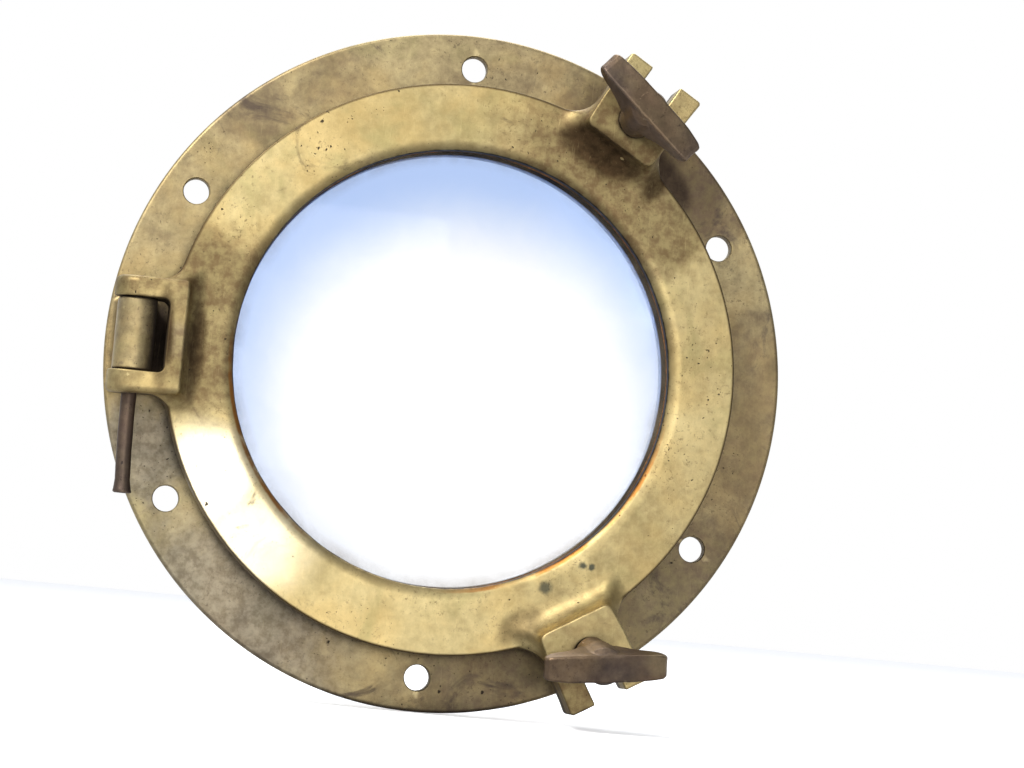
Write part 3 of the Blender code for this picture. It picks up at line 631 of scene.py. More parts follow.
class Recipe:
    """The nodes of a material or a world while they are put together."""

    def __init__(self, owner):
        self.owner = owner
        owner.use_nodes = True
        self.tree = owner.node_tree
        self.tree.nodes.clear()
        self.column = 0
        self.flat = None  # the place without its depth, for the marks

    def node(self, kind, settings=None, **inputs):
        """Add a node; an input goes by its name, or by i and its number."""
        made = self.tree.nodes.new("ShaderNode" + kind)
        made.location = (self.column * 40, -(self.column % 7) * 160)
        self.column += 1
        for key, value in (settings or {}).items():
            setattr(made, key, value)
        for key, value in inputs.items():
            socket = made.inputs[int(key[1:])] if key[1:].isdigit() else made.inputs[key.replace("_", " ")]
            if isinstance(value, bpy.types.NodeSocket):
                self.tree.links.new(value, socket)
            else:
                socket.default_value = value
        return made

    def object_place(self):
        """Place on the object, in metres in the model's frame."""
        return self.node("TexCoord").outputs["Object"]

    def noise(self, coords, scale, detail=4.0, roughness=0.55, warp=0.0):
        made = self.node("TexNoise", None, Vector=coords, Scale=scale, Detail=detail,
                         Roughness=roughness, Distortion=warp)
        return made.outputs["Fac"]

    def ramp(self, value, low, high, smooth=True):
        """0 below low and 1 above high; low may be the greater."""
        made = self.node("MapRange", {"interpolation_type": "SMOOTHSTEP" if smooth else "LINEAR"},
                         Value=value, From_Min=low, From_Max=high)
        return made.outputs["Result"]

    def math(self, operation, a, b=0.0, c=0.0):
        return self.node("Math", {"operation": operation}, i0=a, i1=b, i2=c).outputs[0]

    def gain(self, value, factor, base):
        """Value times factor, plus base."""
        return self.math("MULTIPLY_ADD", value, factor, base)

    def rest(self, value):
        """What a share leaves of the whole."""
        return self.math("SUBTRACT", 1.0, value)

    def most(self, *values):
        result = values[0]
        for value in values[1:]:
            result = self.math("MAXIMUM", result, value)
        return result

    def product(self, *values):
        result = values[0]
        for value in values[1:]:
            result = self.math("MULTIPLY", result, value)
        return result

    def across(self, place):
        """The same place without its depth, so its length is the radius from the axis."""
        return self.node("Mapping", None, Vector=place, Scale=(1.0, 0.0, 1.0)).outputs[0]

    def length(self, vector):
        return self.node("VectorMath", {"operation": "LENGTH"}, i0=vector).outputs["Value"]

    def blend(self, share, a, b, mode="MIX"):
        made = self.node("Mix", {"data_type": "RGBA", "blend_type": mode}, i0=share, i6=a, i7=b)
        return made.outputs[2]

    def bump(self, height, strength, distance, normal=None):
        made = self.node("Bump", None, Height=height, Strength=strength, Distance=distance)
        if normal is not None:
            self.tree.links.new(normal, made.inputs["Normal"])
        return made.outputs["Normal"]

    def finish(self, shader, output="OutputMaterial"):
        out = self.node(output)
        self.tree.links.new(shader.outputs[0], out.inputs["Surface"])
        return self.owner


def material_recipe(name):
    return Recipe(bpy.data.materials.new(name))


def opaque(*channels):
    return channels + (1.0,)


def scaled(colour, *factors):
    """A colour times one factor, or times one for each channel."""
    factors = factors * 3 if len(factors) == 1 else factors
    return tuple(min(1.0, c * k) for c, k in zip(colour[:3], factors)) + (1.0,)


MARKS = {  # kind: share of the reach at full strength, and how ragged its border is in metres
    "brown": (0.35, 0.045),
    # dark: painted shade in fillets, gaps and beside the lugs, with some dirt
    "dark": (0.45, 0.0045),
    "grey": (0.30, 0.050),
    # painted highlight on places that are also polished smoother
    "highlight_and_polish": (0.30, 0.020),
    "spot": (0.30, 0.004),
}


def marked(r, marks, kind, unevenness):
    """How strongly one kind of mark shows at a place.

    Each mark is (kind, x, z, reach, strength), with an angle in degrees and a stretch if it is long.
    """
    share, fray = MARKS[kind]
    shown = 0.0
    for found, x, z, reach, strength, *shape in marks:
        if found != kind:
            continue
        angle, stretch = shape or (0.0, 1.0)
        local = r.node("Mapping", {"vector_type": "TEXTURE"}, Vector=r.flat, Location=(x, 0.0, z),
                       Rotation=(0.0, -math.radians(angle), 0.0), Scale=(stretch, 1.0, 1.0)).outputs[0]
        away = r.gain(r.math("SUBTRACT", unevenness, 0.5), fray, r.length(local))
        shown = r.most(shown, r.product(r.ramp(away, reach, reach * share), strength))
    return shown


def pit_strength(r, coords):
    """Casting pits of two sizes, crowded in some places and rare in others."""
    jitter = r.node("TexNoise", None, Vector=coords, Scale=520.0, Detail=3.0).outputs["Color"]
    jitter = r.node("VectorMath", {"operation": "MULTIPLY_ADD"}, i0=jitter, i1=(0.0024,) * 3, i2=coords)
    crowd = r.ramp(r.noise(coords, 24.0, 4.0, 0.6), 0.40, 0.66)
    holes = []
    for scale, power, largest, share in ((300.0, 7.5, 0.28, 0.6), (760.0, 4.0, 0.36, 0.9)):
        cells = r.node("TexVoronoi", None, Vector=jitter.outputs[0], Scale=scale, Randomness=1.0)
        size = r.node("TexWhiteNoise", {"noise_dimensions": "3D"}, Vector=cells.outputs["Position"])
        limit = r.product(r.math("POWER", size.outputs["Value"], power), largest)
        limit = r.product(limit, r.gain(crowd, share, 1.0 - share))
        holes.append(r.ramp(r.math("SUBTRACT", limit, cells.outputs["Distance"]), 0.0, 0.06))
    return r.most(*holes)


def scratch_strength(r, coords):
    """Fine rubbing marks in two directions."""
    lines = []
    for turn, scale in ((0.6, 1400.0), (-0.9, 1100.0)):
        rub = r.node("Mapping", None, Vector=coords, Rotation=(0.0, turn, 0.0), Scale=(1.0, 1.0, 0.06))
        lines.append(r.ramp(r.noise(rub.outputs[0], scale, 3.0, 0.6), 0.62, 0.76))
    return r.most(*lines)


def window_edges(r, colour, dark, radius, depth, patch, mottle):
    """Dirt with painted shade under the window's outer rim, and orange putty or a darker band along its
    glass.
    """
    radius = r.gain(r.math("SUBTRACT", mottle, 0.5), 0.0007, radius)
    # painted shade with some dirt: the ring's outer wall and rim edge are darkened
    rim = r.product(r.ramp(radius, 0.1249, 0.1259), r.ramp(depth, -0.0324, -0.0316), 0.85)
    colour = r.blend(rim, colour, scaled(dark, 0.8))
    sides = []
    for direction, low, high in (((0.66, 0.0, -0.75), 0.070, 0.092), ((-0.9, 0.0, -0.44), 0.082, 0.095)):
        along = r.node("VectorMath", {"operation": "DOT_PRODUCT"}, i0=r.flat, i1=direction)
        sides.append(r.ramp(along.outputs["Value"], low, high))
    sides = r.most(*sides)
    putty_line = r.product(r.ramp(radius, 0.0992, 0.0983), sides, r.ramp(patch, 0.30, 0.55), 0.9)
    colour = r.blend(putty_line, colour, opaque(0.33, 0.125, 0.022))
    # darker over the lip's round toward the glass, wherever no putty shows
    lip_darkening = r.product(r.ramp(radius, 0.1025, 0.0975), r.rest(sides), 0.40)
    colour = r.blend(lip_darkening, colour, scaled(dark, 0.8))
    return r.blend(r.ramp(radius, 0.0974, 0.0968), colour, opaque(0.012, 0.009, 0.007))


def paint_strength(r, radius, depth):
    """Where old pale paint is left: in the tube's bore and inside the retaining ring."""
    tube = r.product(r.ramp(radius, 0.1046, 0.1042), r.ramp(depth, -0.0080, -0.0075))
    return r.most(tube, r.ramp(radius, 0.0967, 0.0965))


def aged_brass(
    name, clean, patina, dark, bare, cover, uneven, blotch, pits, rough, seed, marks, window=False
):
    """Cast brass: worn metal, patina over part of it, blotches, pits, scratches, and dirt with
    painted shade in its hollows.

    The marks are "brown", which nobody polishes; "dark", painted shade in fillets, in gaps and
    beside the lugs, with some dirt; "grey" dirt; the gleaming ones, a painted highlight on places
    that are also rubbed bare and smoother; and "spot", a green-black stain.
    """
    r = material_recipe(name)
    place = r.object_place()
    r.flat = r.across(place)
    coords = r.node("Mapping", None, Vector=place, Location=(seed, seed * 0.7, -seed)).outputs[0]
    cloud = r.noise(coords, 11.0, 3.0, 0.55, 0.6)
    patch = r.noise(coords, 44.0, 6.0, 0.62, 0.5)
    mottle = r.noise(coords, 190.0, 6.0, 0.66)
    grain = r.noise(coords, 1500.0, 3.0, 0.6)

    mixed = r.gain(cloud, 0.40, r.product(patch, 0.34))
    mixed = r.gain(mottle, 0.26, mixed)
    film = r.ramp(mixed, cover - 0.14, cover + 0.14)
    colour = r.blend(film, patina, clean)
    warm = r.ramp(r.noise(coords, 27.0, 4.0, 0.6), 0.38, 0.66)
    colour = r.blend(r.product(warm, 0.45), colour, scaled(clean, 1.0, 0.86, 0.66))
    green = r.ramp(r.noise(coords, 19.0, 5.0, 0.62, 0.9), 0.48, 0.66)
    colour = r.blend(r.product(green, 0.55), colour, scaled(clean, 0.60, 0.64, 0.56))

    kinds = ("brown", "dark", "grey", "highlight_and_polish")
    brown, dirt_and_shade, grey, highlight_and_polish = (marked(r, marks, kind, patch) for kind in kinds)
    spot = marked(r, marks, "spot", mottle)
    tones = r.ramp(mottle, 0.36, 0.64)
    colour = r.blend(grey, colour, r.blend(tones, opaque(0.185, 0.158, 0.132), opaque(0.33, 0.295, 0.245)))
    # painted highlight: the gleaming marks lighten the colour to bare metal
    colour = r.blend(highlight_and_polish, colour, bare)
    colour = r.blend(brown, colour, r.blend(tones, scaled(dark, 1.9), scaled(patina, 0.74)))
    # painted shade, with some dirt: the dark marks darken the colour
    colour = r.blend(dirt_and_shade, colour, r.blend(tones, scaled(dark, 0.65), scaled(dark, 1.25)))
    grain_tone = r.ramp(r.noise(coords, 95.0, 8.0, 0.72), 0.30, 0.70, False)
    low, high = opaque(*(1.0 - uneven,) * 3), opaque(*(1.0 + 0.8 * uneven,) * 3)
    colour = r.blend(1.0, colour, r.blend(grain_tone, low, high), "MULTIPLY")

    stain = r.ramp(r.noise(coords, 31.0, 8.0, 0.70, 0.9), blotch, blotch + 0.12)
    stain = r.product(stain, 0.75)
    colour = r.blend(stain, colour, dark)
    freckle = r.ramp(r.noise(coords, 560.0, 5.0, 0.72), 0.55, 0.67)
    colour = r.blend(r.product(freckle, 0.55, r.ramp(patch, 0.40, 0.62)), colour, dark)
    colour = r.blend(spot, colour, opaque(0.060, 0.062, 0.036))
    pit = r.product(pit_strength(r, coords), pits)
    colour = r.blend(pit, colour, scaled(dark, 0.35))

    edge = r.node("NewGeometry").outputs["Pointiness"]
    rubbed = r.product(r.ramp(edge, 0.515, 0.60), r.ramp(patch, 0.25, 0.6), 0.65)
    colour = r.blend(rubbed, colour, scaled(clean, 1.25))
    # painted shade with some dirt: darker where ambient occlusion finds hollows, and in concave creases
    shelter = r.node("AmbientOcclusion", {"samples": 6}, Distance=0.013).outputs["AO"]
    grime_and_shade = r.product(r.ramp(shelter, 0.80, 0.30), r.gain(patch, 0.5, 0.62))
    grime_and_shade = r.most(grime_and_shade, r.product(r.ramp(edge, 0.487, 0.42), 0.6))
    colour = r.blend(grime_and_shade, colour, scaled(dark, 0.45))

    radius = r.length(r.flat)
    depth = r.node("SeparateXYZ", None, Vector=place).outputs["Y"]
    unmetallic = [stain, pit, spot, grime_and_shade]
    if window:
        colour = window_edges(r, colour, dark, radius, depth, patch, mottle)
    else:
        paint = paint_strength(r, radius, depth)
        colour = r.blend(paint, colour, r.blend(tones, opaque(0.62, 0.64, 0.65), opaque(0.74, 0.77, 0.79)))
        unmetallic.append(paint)
    scratch = scratch_strength(r, coords)
    colour = r.blend(r.product(scratch, 0.14), colour, scaled(clean, 1.3))

    roughness = r.gain(mottle, 0.20, rough - 0.10)
    for strength, gain in (
        (r.most(stain, brown, dirt_and_shade, grey), 0.10),
        (dirt_and_shade, 0.14),
        (r.most(highlight_and_polish, rubbed), -0.14),
        (r.most(pit, grime_and_shade), 0.30),
        (r.rest(film), 0.07),
    ):
        roughness = r.gain(strength, gain, roughness)

    normal = None
    for height, strength, distance in (
        (cloud, 0.35, 0.0024),
        (patch, 0.40, 0.0006),
        (mottle, 0.50, 0.00016),
        (r.rest(pit), 0.8, 0.0003),
        (scratch, 0.35, 0.00003),
        (grain, 0.3, 0.00004),
    ):
        normal = r.bump(height, strength, distance, normal)
    metal = r.gain(r.most(*unmetallic), -0.6, 1.0)
    shader = r.node("BsdfPrincipled", None, Base_Color=colour, Metallic=metal,
                    Roughness=roughness, Normal=normal)
    return r.finish(shader)


def clear_glass(name):
    """Thick clear glass with a bluish painted shadow toward its upper edge, and dirt along its edge."""
    r = material_recipe(name)
    coords = r.object_place()
    flat = r.across(coords)
    edge = r.ramp(r.length(flat), 0.0900, 0.0968)
    smear = r.noise(coords, 42.0, 5.0, 0.62, 0.5)
    speck = r.ramp(r.noise(coords, 900.0, 2.0, 0.5), 0.75, 0.80)
    dirt = r.product(edge, r.ramp(smear, 0.30, 0.75), 0.30)
    dirt = r.most(dirt, r.product(speck, 0.22))
    # painted shadow: a bluish tint toward the upper edge stands for the frame's shadow on a backdrop
    # behind the glass
    middle = r.node("CombineXYZ", None, X=0.006, Y=0.0, Z=-0.022).outputs[0]
    away = r.node("VectorMath", {"operation": "DISTANCE"}, i0=flat, i1=middle).outputs["Value"]
    away = r.gain(r.math("SUBTRACT", smear, 0.5), 0.012, away)
    backdrop_shadow_tint = r.ramp(away, 0.066, 0.112)
    tint = r.blend(backdrop_shadow_tint, opaque(1.0, 1.0, 1.0), opaque(0.67, 0.765, 0.945))
    clear = r.node("BsdfTransparent", None, Color=tint)
    rough = r.gain(smear, 0.05, 0.02)
    gloss = r.node("BsdfGlossy", None, Color=opaque(0.035, 0.035, 0.037), Roughness=rough)
    body = r.node("AddShader", None, i0=clear.outputs[0], i1=gloss.outputs[0])
    film = r.node("BsdfDiffuse", None, Color=opaque(0.36, 0.27, 0.15))
    shader = r.node("MixShader", None, i0=dirt, i1=body.outputs[0], i2=film.outputs[0])
    return r.finish(shader)


def putty(name):
    """Old bedding compound, brown to black, cracked and crumbling."""
    r = material_recipe(name)
    coords = r.object_place()
    patch = r.noise(coords, 26.0, 5.0, 0.6)
    crumb = r.noise(coords, 900.0, 5.0, 0.7)
    colour = r.blend(r.ramp(patch, 0.44, 0.58), opaque(0.016, 0.012, 0.010), opaque(0.30, 0.125, 0.035))
    colour = r.blend(r.ramp(crumb, 0.35, 0.65), colour, opaque(0.09, 0.05, 0.02))
    normal = r.bump(crumb, 0.9, 0.0006)
    rough = r.gain(crumb, 0.2, 0.72)
    shader = r.node("BsdfPrincipled", None, Base_Color=colour, Roughness=rough, Normal=normal)
    return r.finish(shader)


def black_rubber(name):
    """Old gasket rubber with a dusty bloom and fine crazing."""
    r = material_recipe(name)
    coords = r.object_place()
    bloom = r.noise(coords, 70.0, 5.0, 0.6)
    craze = r.noise(coords, 1300.0, 4.0, 0.7)
    colour = r.blend(r.ramp(bloom, 0.4, 0.75), opaque(0.012, 0.012, 0.012), opaque(0.05, 0.048, 0.044))
    normal = r.bump(craze, 0.6, 0.0002)
    rough = r.gain(bloom, 0.25, 0.55)
    shader = r.node("BsdfPrincipled", None, Base_Color=colour, Roughness=rough, Normal=normal)
    return r.finish(shader)


def pale_floor(name):
    """Pale paper: bright where the camera sees it, dimmer where the brass mirrors it."""
    r = material_recipe(name)
    coords = r.object_place()
    tone = r.blend(r.noise(coords, 3.0, 3.0, 0.5), opaque(0.86, 0.865, 0.875), opaque(0.90, 0.90, 0.90))
    lit = r.node("BsdfDiffuse", None, Color=tone, Roughness=0.6)
    glow = r.node("Emission", None, Color=opaque(1.0, 1.0, 1.0), Strength=0.34)
    both = r.node("AddShader", None, i0=lit.outputs[0], i1=glow.outputs[0])
    dim = r.node("BsdfDiffuse", None, Color=opaque(0.45, 0.45, 0.46), Roughness=0.6)
    seen = r.node("LightPath").outputs["Is Camera Ray"]
    shader = r.node("MixShader", None, i0=seen, i1=dim.outputs[0], i2=both.outputs[0])
    return r.finish(shader)


# pieces


def build_main_frame(brass):
    """Flange, collar and tube in one turned piece, with the hinge knuckle and the dogs' ears."""
    back = -FLANGE_THICKNESS
    bead = []
    for i in range(9):
        a = math.radians(180.0 * i / 8)
        drop = BEAD_HALF_WIDTH * (1.0 - math.sin(a))
        bead.append((BEAD_RADIUS + BEAD_HALF_WIDTH * math.cos(a), BEAD_TOP - drop))
    outer = [
        (TUBE_BORE_RADIUS, back - TUBE_LENGTH),
        (TUBE_OUTER_RADIUS, back - TUBE_LENGTH),
        (TUBE_OUTER_RADIUS, back),
        (FLANGE_RADIUS, back),
        (FLANGE_RADIUS, 0.0),
        (COLLAR_RADIUS, 0.0),
        (COLLAR_RADIUS, COLLAR_HEIGHT),
    ]
    inner = [
        (COLLAR_BORE_RADIUS, COLLAR_HEIGHT),
        (COLLAR_BORE_RADIUS, COLLAR_LEDGE),
        (TUBE_BORE_RADIUS, COLLAR_LEDGE),
    ]
    count = len(outer) + len(bead)
    radii = {0: 0.8, 1: 1.2, 2: 1.5, 3: 1.2, 4: FLANGE_EDGE, 5: 0.8, 6: 0.6, count: 0.5, count + 2: 0.5}
    flange = turned("main_frame_flange", softened(outer + bead + inner, radii))
    profile = [  # a bolt hole with its edges worn
        (BOLT_HOLE_RADIUS + 1.3, back - 1.0),
        (BOLT_HOLE_RADIUS, back + 0.3),
        (BOLT_HOLE_RADIUS, -0.45),
        (BOLT_HOLE_RADIUS + 1.45, 1.0),
    ]
    holes = [lathed("hole", profile, 72, flange_place(angle, BOLT_CIRCLE_RADIUS)) for angle in BOLT_ANGLES]
    flange = cut(flange, holes)
    piece("main_frame_flange", flange, "frame", "main_frame", brass, 30)
    mesh = skin("knuckle", knuckle_field, flange_place(0.0))
    piece("main_frame_knuckle", mesh, "frame", "main_frame", brass)
    for name, dog in DOGS.items():
        mesh = skin("ears", ears_field, flange_place(dog["angle"]))
        piece(f"main_frame_ears_{name}", mesh, "frame", "main_frame", brass)


def build_glass_frame(brass):
    """The turned ring, cut away for the dogs and the screws, with its cast clevis and forks."""
    lip = []
    for i in range(13):
        a = math.radians(90.0 * i / 12)
        run, drop = LIP_ROUND_RUN * (1.0 - math.sin(a)), LIP_ROUND_DROP * (1.0 - math.cos(a))
        lip.append((SIGHT_RADIUS + run, RING_FRONT - drop))
    profile = [(RING_RADIUS, RING_BACK), (RING_RADIUS, RING_FRONT)] + lip
    first_back = len(profile)
    profile += [
        (SIGHT_RADIUS, LIP_BACK),
        (REBATE_RADIUS, LIP_BACK),
        (REBATE_RADIUS, BARREL_BACK),
        (BARREL_RADIUS, BARREL_BACK),
        (BARREL_RADIUS, RING_BACK),
        (GROOVE_INNER_RADIUS, RING_BACK),
        (GROOVE_INNER_RADIUS, GROOVE_FLOOR),
        (GROOVE_OUTER_RADIUS, GROOVE_FLOOR),
        (GROOVE_OUTER_RADIUS, RING_BACK),
    ]
    radii = {0: 0.5, 1: RIM_ROUND, first_back: 0.3, first_back + 2: 0.3, first_back + 3: 0.5}
    ring = turned("glass_frame_ring", softened(profile, radii))
    cutters = []
    for dog in DOGS.values():
        place = flange_place(dog["angle"])
        pocket = rectangle(POCKET_INNER - 0.05, POCKET_OUTER, POCKET_HALF_WIDTH + 0.05)
        cutters.append(prism("pocket", pocket, 2.0, POCKET_TOP + 0.05, place))
        slot = rectangle(POCKET_INNER + 3.0, POCKET_OUTER, SLOT_HALF_WIDTH - 1.0)
        cutters.append(prism("slot", slot, 2.0, 30.0, place))
    for angle in SCREW_ANGLES:
        hole = [(SCREW_HOLE_RADIUS, 0.0), (SCREW_HOLE_RADIUS, SCREW_TIP + 0.5)]
        cutters.append(lathed("screw_hole", hole, 20, flange_place(angle, SCREW_CIRCLE_RADIUS)))
    ring = cut(ring, cutters)
    piece("glass_frame_ring", ring, "window", "glass_frame", brass, 30)

    mesh = skin("clevis", clevis_field, flange_place(0.0))
    piece("glass_frame_clevis", mesh, "window", "glass_frame", brass)
    for name, dog in DOGS.items():

        def field(u, v, h, lean=dog["lean"]):
            return fork_field(u, v, h, lean)

        mesh = skin("fork", field, flange_place(dog["angle"]))
        piece(f"glass_frame_fork_{name}", mesh, "window", "glass_frame", brass)


def putty_creep(angle, profile):
    """How far the putty has crept in past the lip, all round."""
    creep = math.sin(3.0 * angle + 0.4) + math.sin(7.0 * angle + 1.9)
    creep += 0.7 * math.sin(17.0 * angle) + 0.5 * math.sin(41.0 * angle)
    return np.where(profile[:, 0] < 97.5, 0.09 * creep, 0.0)


def build_glazing(glass, bedding, rubber):
    """The glass, the putty on both its faces and the window's gasket."""
    pane = [(0.4, GLASS_BACK), (GLASS_RADIUS, GLASS_BACK), (GLASS_RADIUS, GLASS_FRONT), (0.4, GLASS_FRONT)]
    mesh = lathed("glass_pane_clear", softened(pane, {1: 0.6, 2: 0.6}), 240, flange_place(0.0))
    piece("glass_pane_clear", mesh, "window", "glass_pane", glass, 30)

    front = [(96.7, 17.4), (103.0, 17.4), (103.0, 18.5), (96.9, 18.5), (96.5, 18.1)]
    mesh = turned("front_bedding_bead", front, ROUND, putty_creep)
    piece("front_bedding_bead", mesh, "window", "front_bedding", bedding, 40)
    rear = [(99.4, 7.7), (102.8, 7.7), (102.8, 8.3), (99.4, 8.3)]
    mesh = turned("rear_bedding_bead", rear, 240)
    piece("rear_bedding_bead", mesh, "window", "rear_bedding", bedding, 40)

    inner, outer = GROOVE_INNER_RADIUS + 0.3, GROOVE_OUTER_RADIUS - 0.3
    back, floor = RING_BACK + 0.3, GROOVE_FLOOR - 0.3
    gasket = softened([(inner, back), (outer, back), (outer, floor), (inner, floor)], {0: 0.8, 1: 0.8})
    mesh = turned("gasket_ring", gasket, 360)
    piece("gasket_ring", mesh, "window", "frame_gasket", rubber, 40)


def build_retainer(brass, dark):
    """The ring that holds the glass in from behind, and its six slotted screws."""
    retainer = [
        (RETAINER_INNER_RADIUS, RETAINER_BACK),
        (RETAINER_OUTER_RADIUS, RETAINER_BACK),
        (RETAINER_OUTER_RADIUS, RETAINER_STEP),
        (RETAINER_SPIGOT_RADIUS, RETAINER_STEP),
        (RETAINER_SPIGOT_RADIUS, RETAINER_TOP),
        (RETAINER_INNER_RADIUS, RETAINER_TOP),
    ]
    ring = turned("retainer", softened(retainer, {0: 0.7, 1: 0.6}), 360)
    head = [
        (SCREW_HEAD_RADIUS - 0.9, SCREW_HEAD_BACK),
        (SCREW_HEAD_RADIUS - 0.35, SCREW_HEAD_BACK + 0.12),
        (SCREW_HEAD_RADIUS, SCREW_HEAD_BACK + 0.5),
        (SCREW_HEAD_RADIUS, SCREW_HEAD_SEAT),
        (SCREW_SHANK_RADIUS, SCREW_HEAD_SEAT),
        (SCREW_SHANK_RADIUS, SCREW_TIP - 1.0),
        (SCREW_SHANK_RADIUS * 0.4, SCREW_TIP),
    ]
    holes = []
    for i, angle in enumerate(SCREW_ANGLES):
        place = flange_place(angle, SCREW_CIRCLE_RADIUS)
        holes.append(lathed("hole", [(SCREW_HOLE_RADIUS, 0.0), (SCREW_HOLE_RADIUS, 6.0)], 32, place))
        turn = 0.9 * i + 0.4
        c, s = math.cos(turn), math.sin(turn)
        slot = [(a * c - b * s, a * s + b * c) for a, b in rectangle(-5.0, 5.0, 0.45)]
        slot = prism("driver_slot", slot, SCREW_HEAD_BACK - 1.0, SCREW_HEAD_BACK + 1.1, place)
        screw = cut(lathed("screw", head, 40, place), [slot])
        name = f"retaining_screw_{i + 1}"
        piece(f"{name}_cheese_head", screw, "window", name, dark, 30)
    ring = cut(ring, holes)
    piece("retaining_ring", ring, "window", "glass_retaining_ring", brass, 30)


def build_pin(dark):
    """The hinge pin, a little bent where it hangs free, its lower end spread by a hammer."""
    profile = [
        (PIN_FLARE_RADIUS - 0.7, PIN_BOTTOM),
        (PIN_FLARE_RADIUS - 0.1, PIN_BOTTOM + 0.4),
        (PIN_FLARE_RADIUS, PIN_BOTTOM + 0.9),
        (PIN_FLARE_RADIUS - 0.25, PIN_BOTTOM + 1.8),
        (PIN_RADIUS + 0.35, PIN_BOTTOM + 3.2),
    ]
    steps = 90
    start, end = PIN_BOTTOM + 6.0, PIN_TOP - 0.7
    for i in range(steps + 1):
        z = start + (end - start) * i / steps
        worn = 0.03 * math.sin(z * 0.41) + 0.02 * math.sin(z * 1.3)
        profile.append((PIN_RADIUS + worn, z))
    profile += [(PIN_RADIUS - 0.25, PIN_TOP - 0.2), (PIN_RADIUS - 0.8, PIN_TOP)]

    def bend(z):
        free = max(0.0, -28.0 - z)
        return PIN_BEND * (free / 40.0) ** 2

    def place(points):
        x, y, z = points.T
        return np.stack([x + HINGE_X, y - FLANGE_THICKNESS - HINGE_HEIGHT, z], 1) * MM

    mesh = lathed("hinge_pin_bar", profile, 64, place, bend)
    piece("hinge_pin_bar", mesh, "pin", "hinge_pin", dark, 40)


def thread_mesh(name, place):
    """A screw thread as one helical surface, with its last turn run out to a plain end."""
    top = NUT_TOP_DISTANCE - NUT_CROWN - 0.4
    bottom = 12.0
    rows = int((top - bottom) / 0.16)
    angles = circle(60)
    rings = []
    for i in range(rows + 1):
        z = bottom + (top - bottom) * i / rows
        turn = z / THREAD_PITCH - angles / (2.0 * math.pi)
        wave = np.abs((turn % 1.0) * 2.0 - 1.0)
        depth = THREAD_DEPTH * np.clip((wave - 0.12) / 0.72, 0.0, 1.0)
        fade = min(1.0, (z - bottom) / 3.0)
        tip = max(0.0, z - top + 1.2)
        radius = SHANK_RADIUS - THREAD_DEPTH * (1.0 - fade) - depth * fade - tip * 0.7
        rings.append(np.stack([np.cos(angles) * radius, np.sin(angles) * radius, np.full(60, z)], 1))
    return stacked_rings(name, rings, place)


def build_dogs(dark):
    """Each dog's eye bolt, its pivot pin with peened ends, and its half-moon nut."""
    side = [
        (PIVOT_PIN_RADIUS, PIVOT_PIN_HALF_LENGTH - 0.5),
        (PIVOT_PIN_RADIUS - 0.3, PIVOT_PIN_HALF_LENGTH - 0.15),
        (PIVOT_PIN_RADIUS - 1.2, PIVOT_PIN_HALF_LENGTH),
    ]
    profile = [(radius, -z) for radius, z in reversed(side)] + side
    for name, dog in DOGS.items():
        matrix = dog_matrix(dog)
        place = matrix_place(matrix)
        bolt, pin, nut = f"swing_bolt_{name}", f"dog_pivot_pin_{name}", f"dog_nut_{name}"
        mesh = skin("eye", eye_field, place)
        piece(f"{bolt}_eye", mesh, f"{name}_bolt", bolt, dark)
        mesh = thread_mesh("thread", place)
        piece(f"{bolt}_thread", mesh, f"{name}_bolt", bolt, dark, 50)

        across = matrix @ Matrix.Rotation(math.radians(90), 4, "Y")
        mesh = lathed("pivot", profile, 40, matrix_place(across))
        piece(f"{pin}_peened", mesh, "frame", pin, dark, 40)

        on_bolt = matrix @ Matrix.Translation((0.0, 0.0, NUT_TOP_DISTANCE))
        mesh = skin("nut", nut_field, matrix_place(on_bolt @ Matrix.Rotation(dog["turn"], 4, "Z")))
        piece(f"{nut}_half_moon", mesh, f"{name}_nut", nut, dark)


# stage


def make_camera():
    """A viewpoint a little left of and below the middle, rolled a few degrees."""
    camera = linked("camera", bpy.data.cameras.new("camera"))
    right = Vector((0.98496, -0.14559, 0.09309))
    forward = Vector((0.13946, 0.98780, 0.06933)).normalized()
    up = right.cross(forward).normalized()
    right = forward.cross(up).normalized()
    matrix = Matrix((right, up, -forward)).transposed().to_4x4()
    matrix.translation = (-0.17308, -1.44618, -0.10350)
    camera.matrix_world = matrix
    camera.data.sensor_width = 36.0
    camera.data.lens = 114.09
    camera.data.clip_start = 0.05
    camera.data.clip_end = 60.0
    bpy.context.scene.camera = camera


def area_light(name, location, target, size, power, colour):
    light = bpy.data.lights.new(name, "AREA")
    light.shape = "RECTANGLE"
    light.size, light.size_y = size
    light.energy = power
    light.color = colour
    obj = linked(name, light)
    obj.location = location
    obj.rotation_euler = (Vector(target) - Vector(location)).to_track_quat("-Z", "Y").to_euler()


def make_world():
    """A grey studio, brighter up on the left and behind; white where the camera sees it."""
    world = bpy.data.worlds.new("studio")
    bpy.context.scene.world = world
    r = Recipe(world)
    direction = r.node("TexCoord").outputs["Generated"]
    toward = r.node("VectorMath", {"operation": "DOT_PRODUCT"}, i0=direction, i1=(-0.62, -0.25, 0.74))
    upper = r.ramp(toward.outputs["Value"], -0.35, 0.85)
    behind = r.ramp(r.node("SeparateXYZ", None, i0=direction).outputs["Y"], 0.15, 0.75)
    sky = r.blend(upper, opaque(0.20, 0.20, 0.215), opaque(0.72, 0.74, 0.78))
    sky = r.blend(behind, sky, opaque(0.90, 0.96, 1.06))
    seen = r.node("LightPath").outputs["Is Camera Ray"]
    shown = r.blend(seen, sky, opaque(1.0, 1.0, 1.0))
    r.finish(r.node("Background", None, Color=shown, Strength=1.0), "OutputWorld")


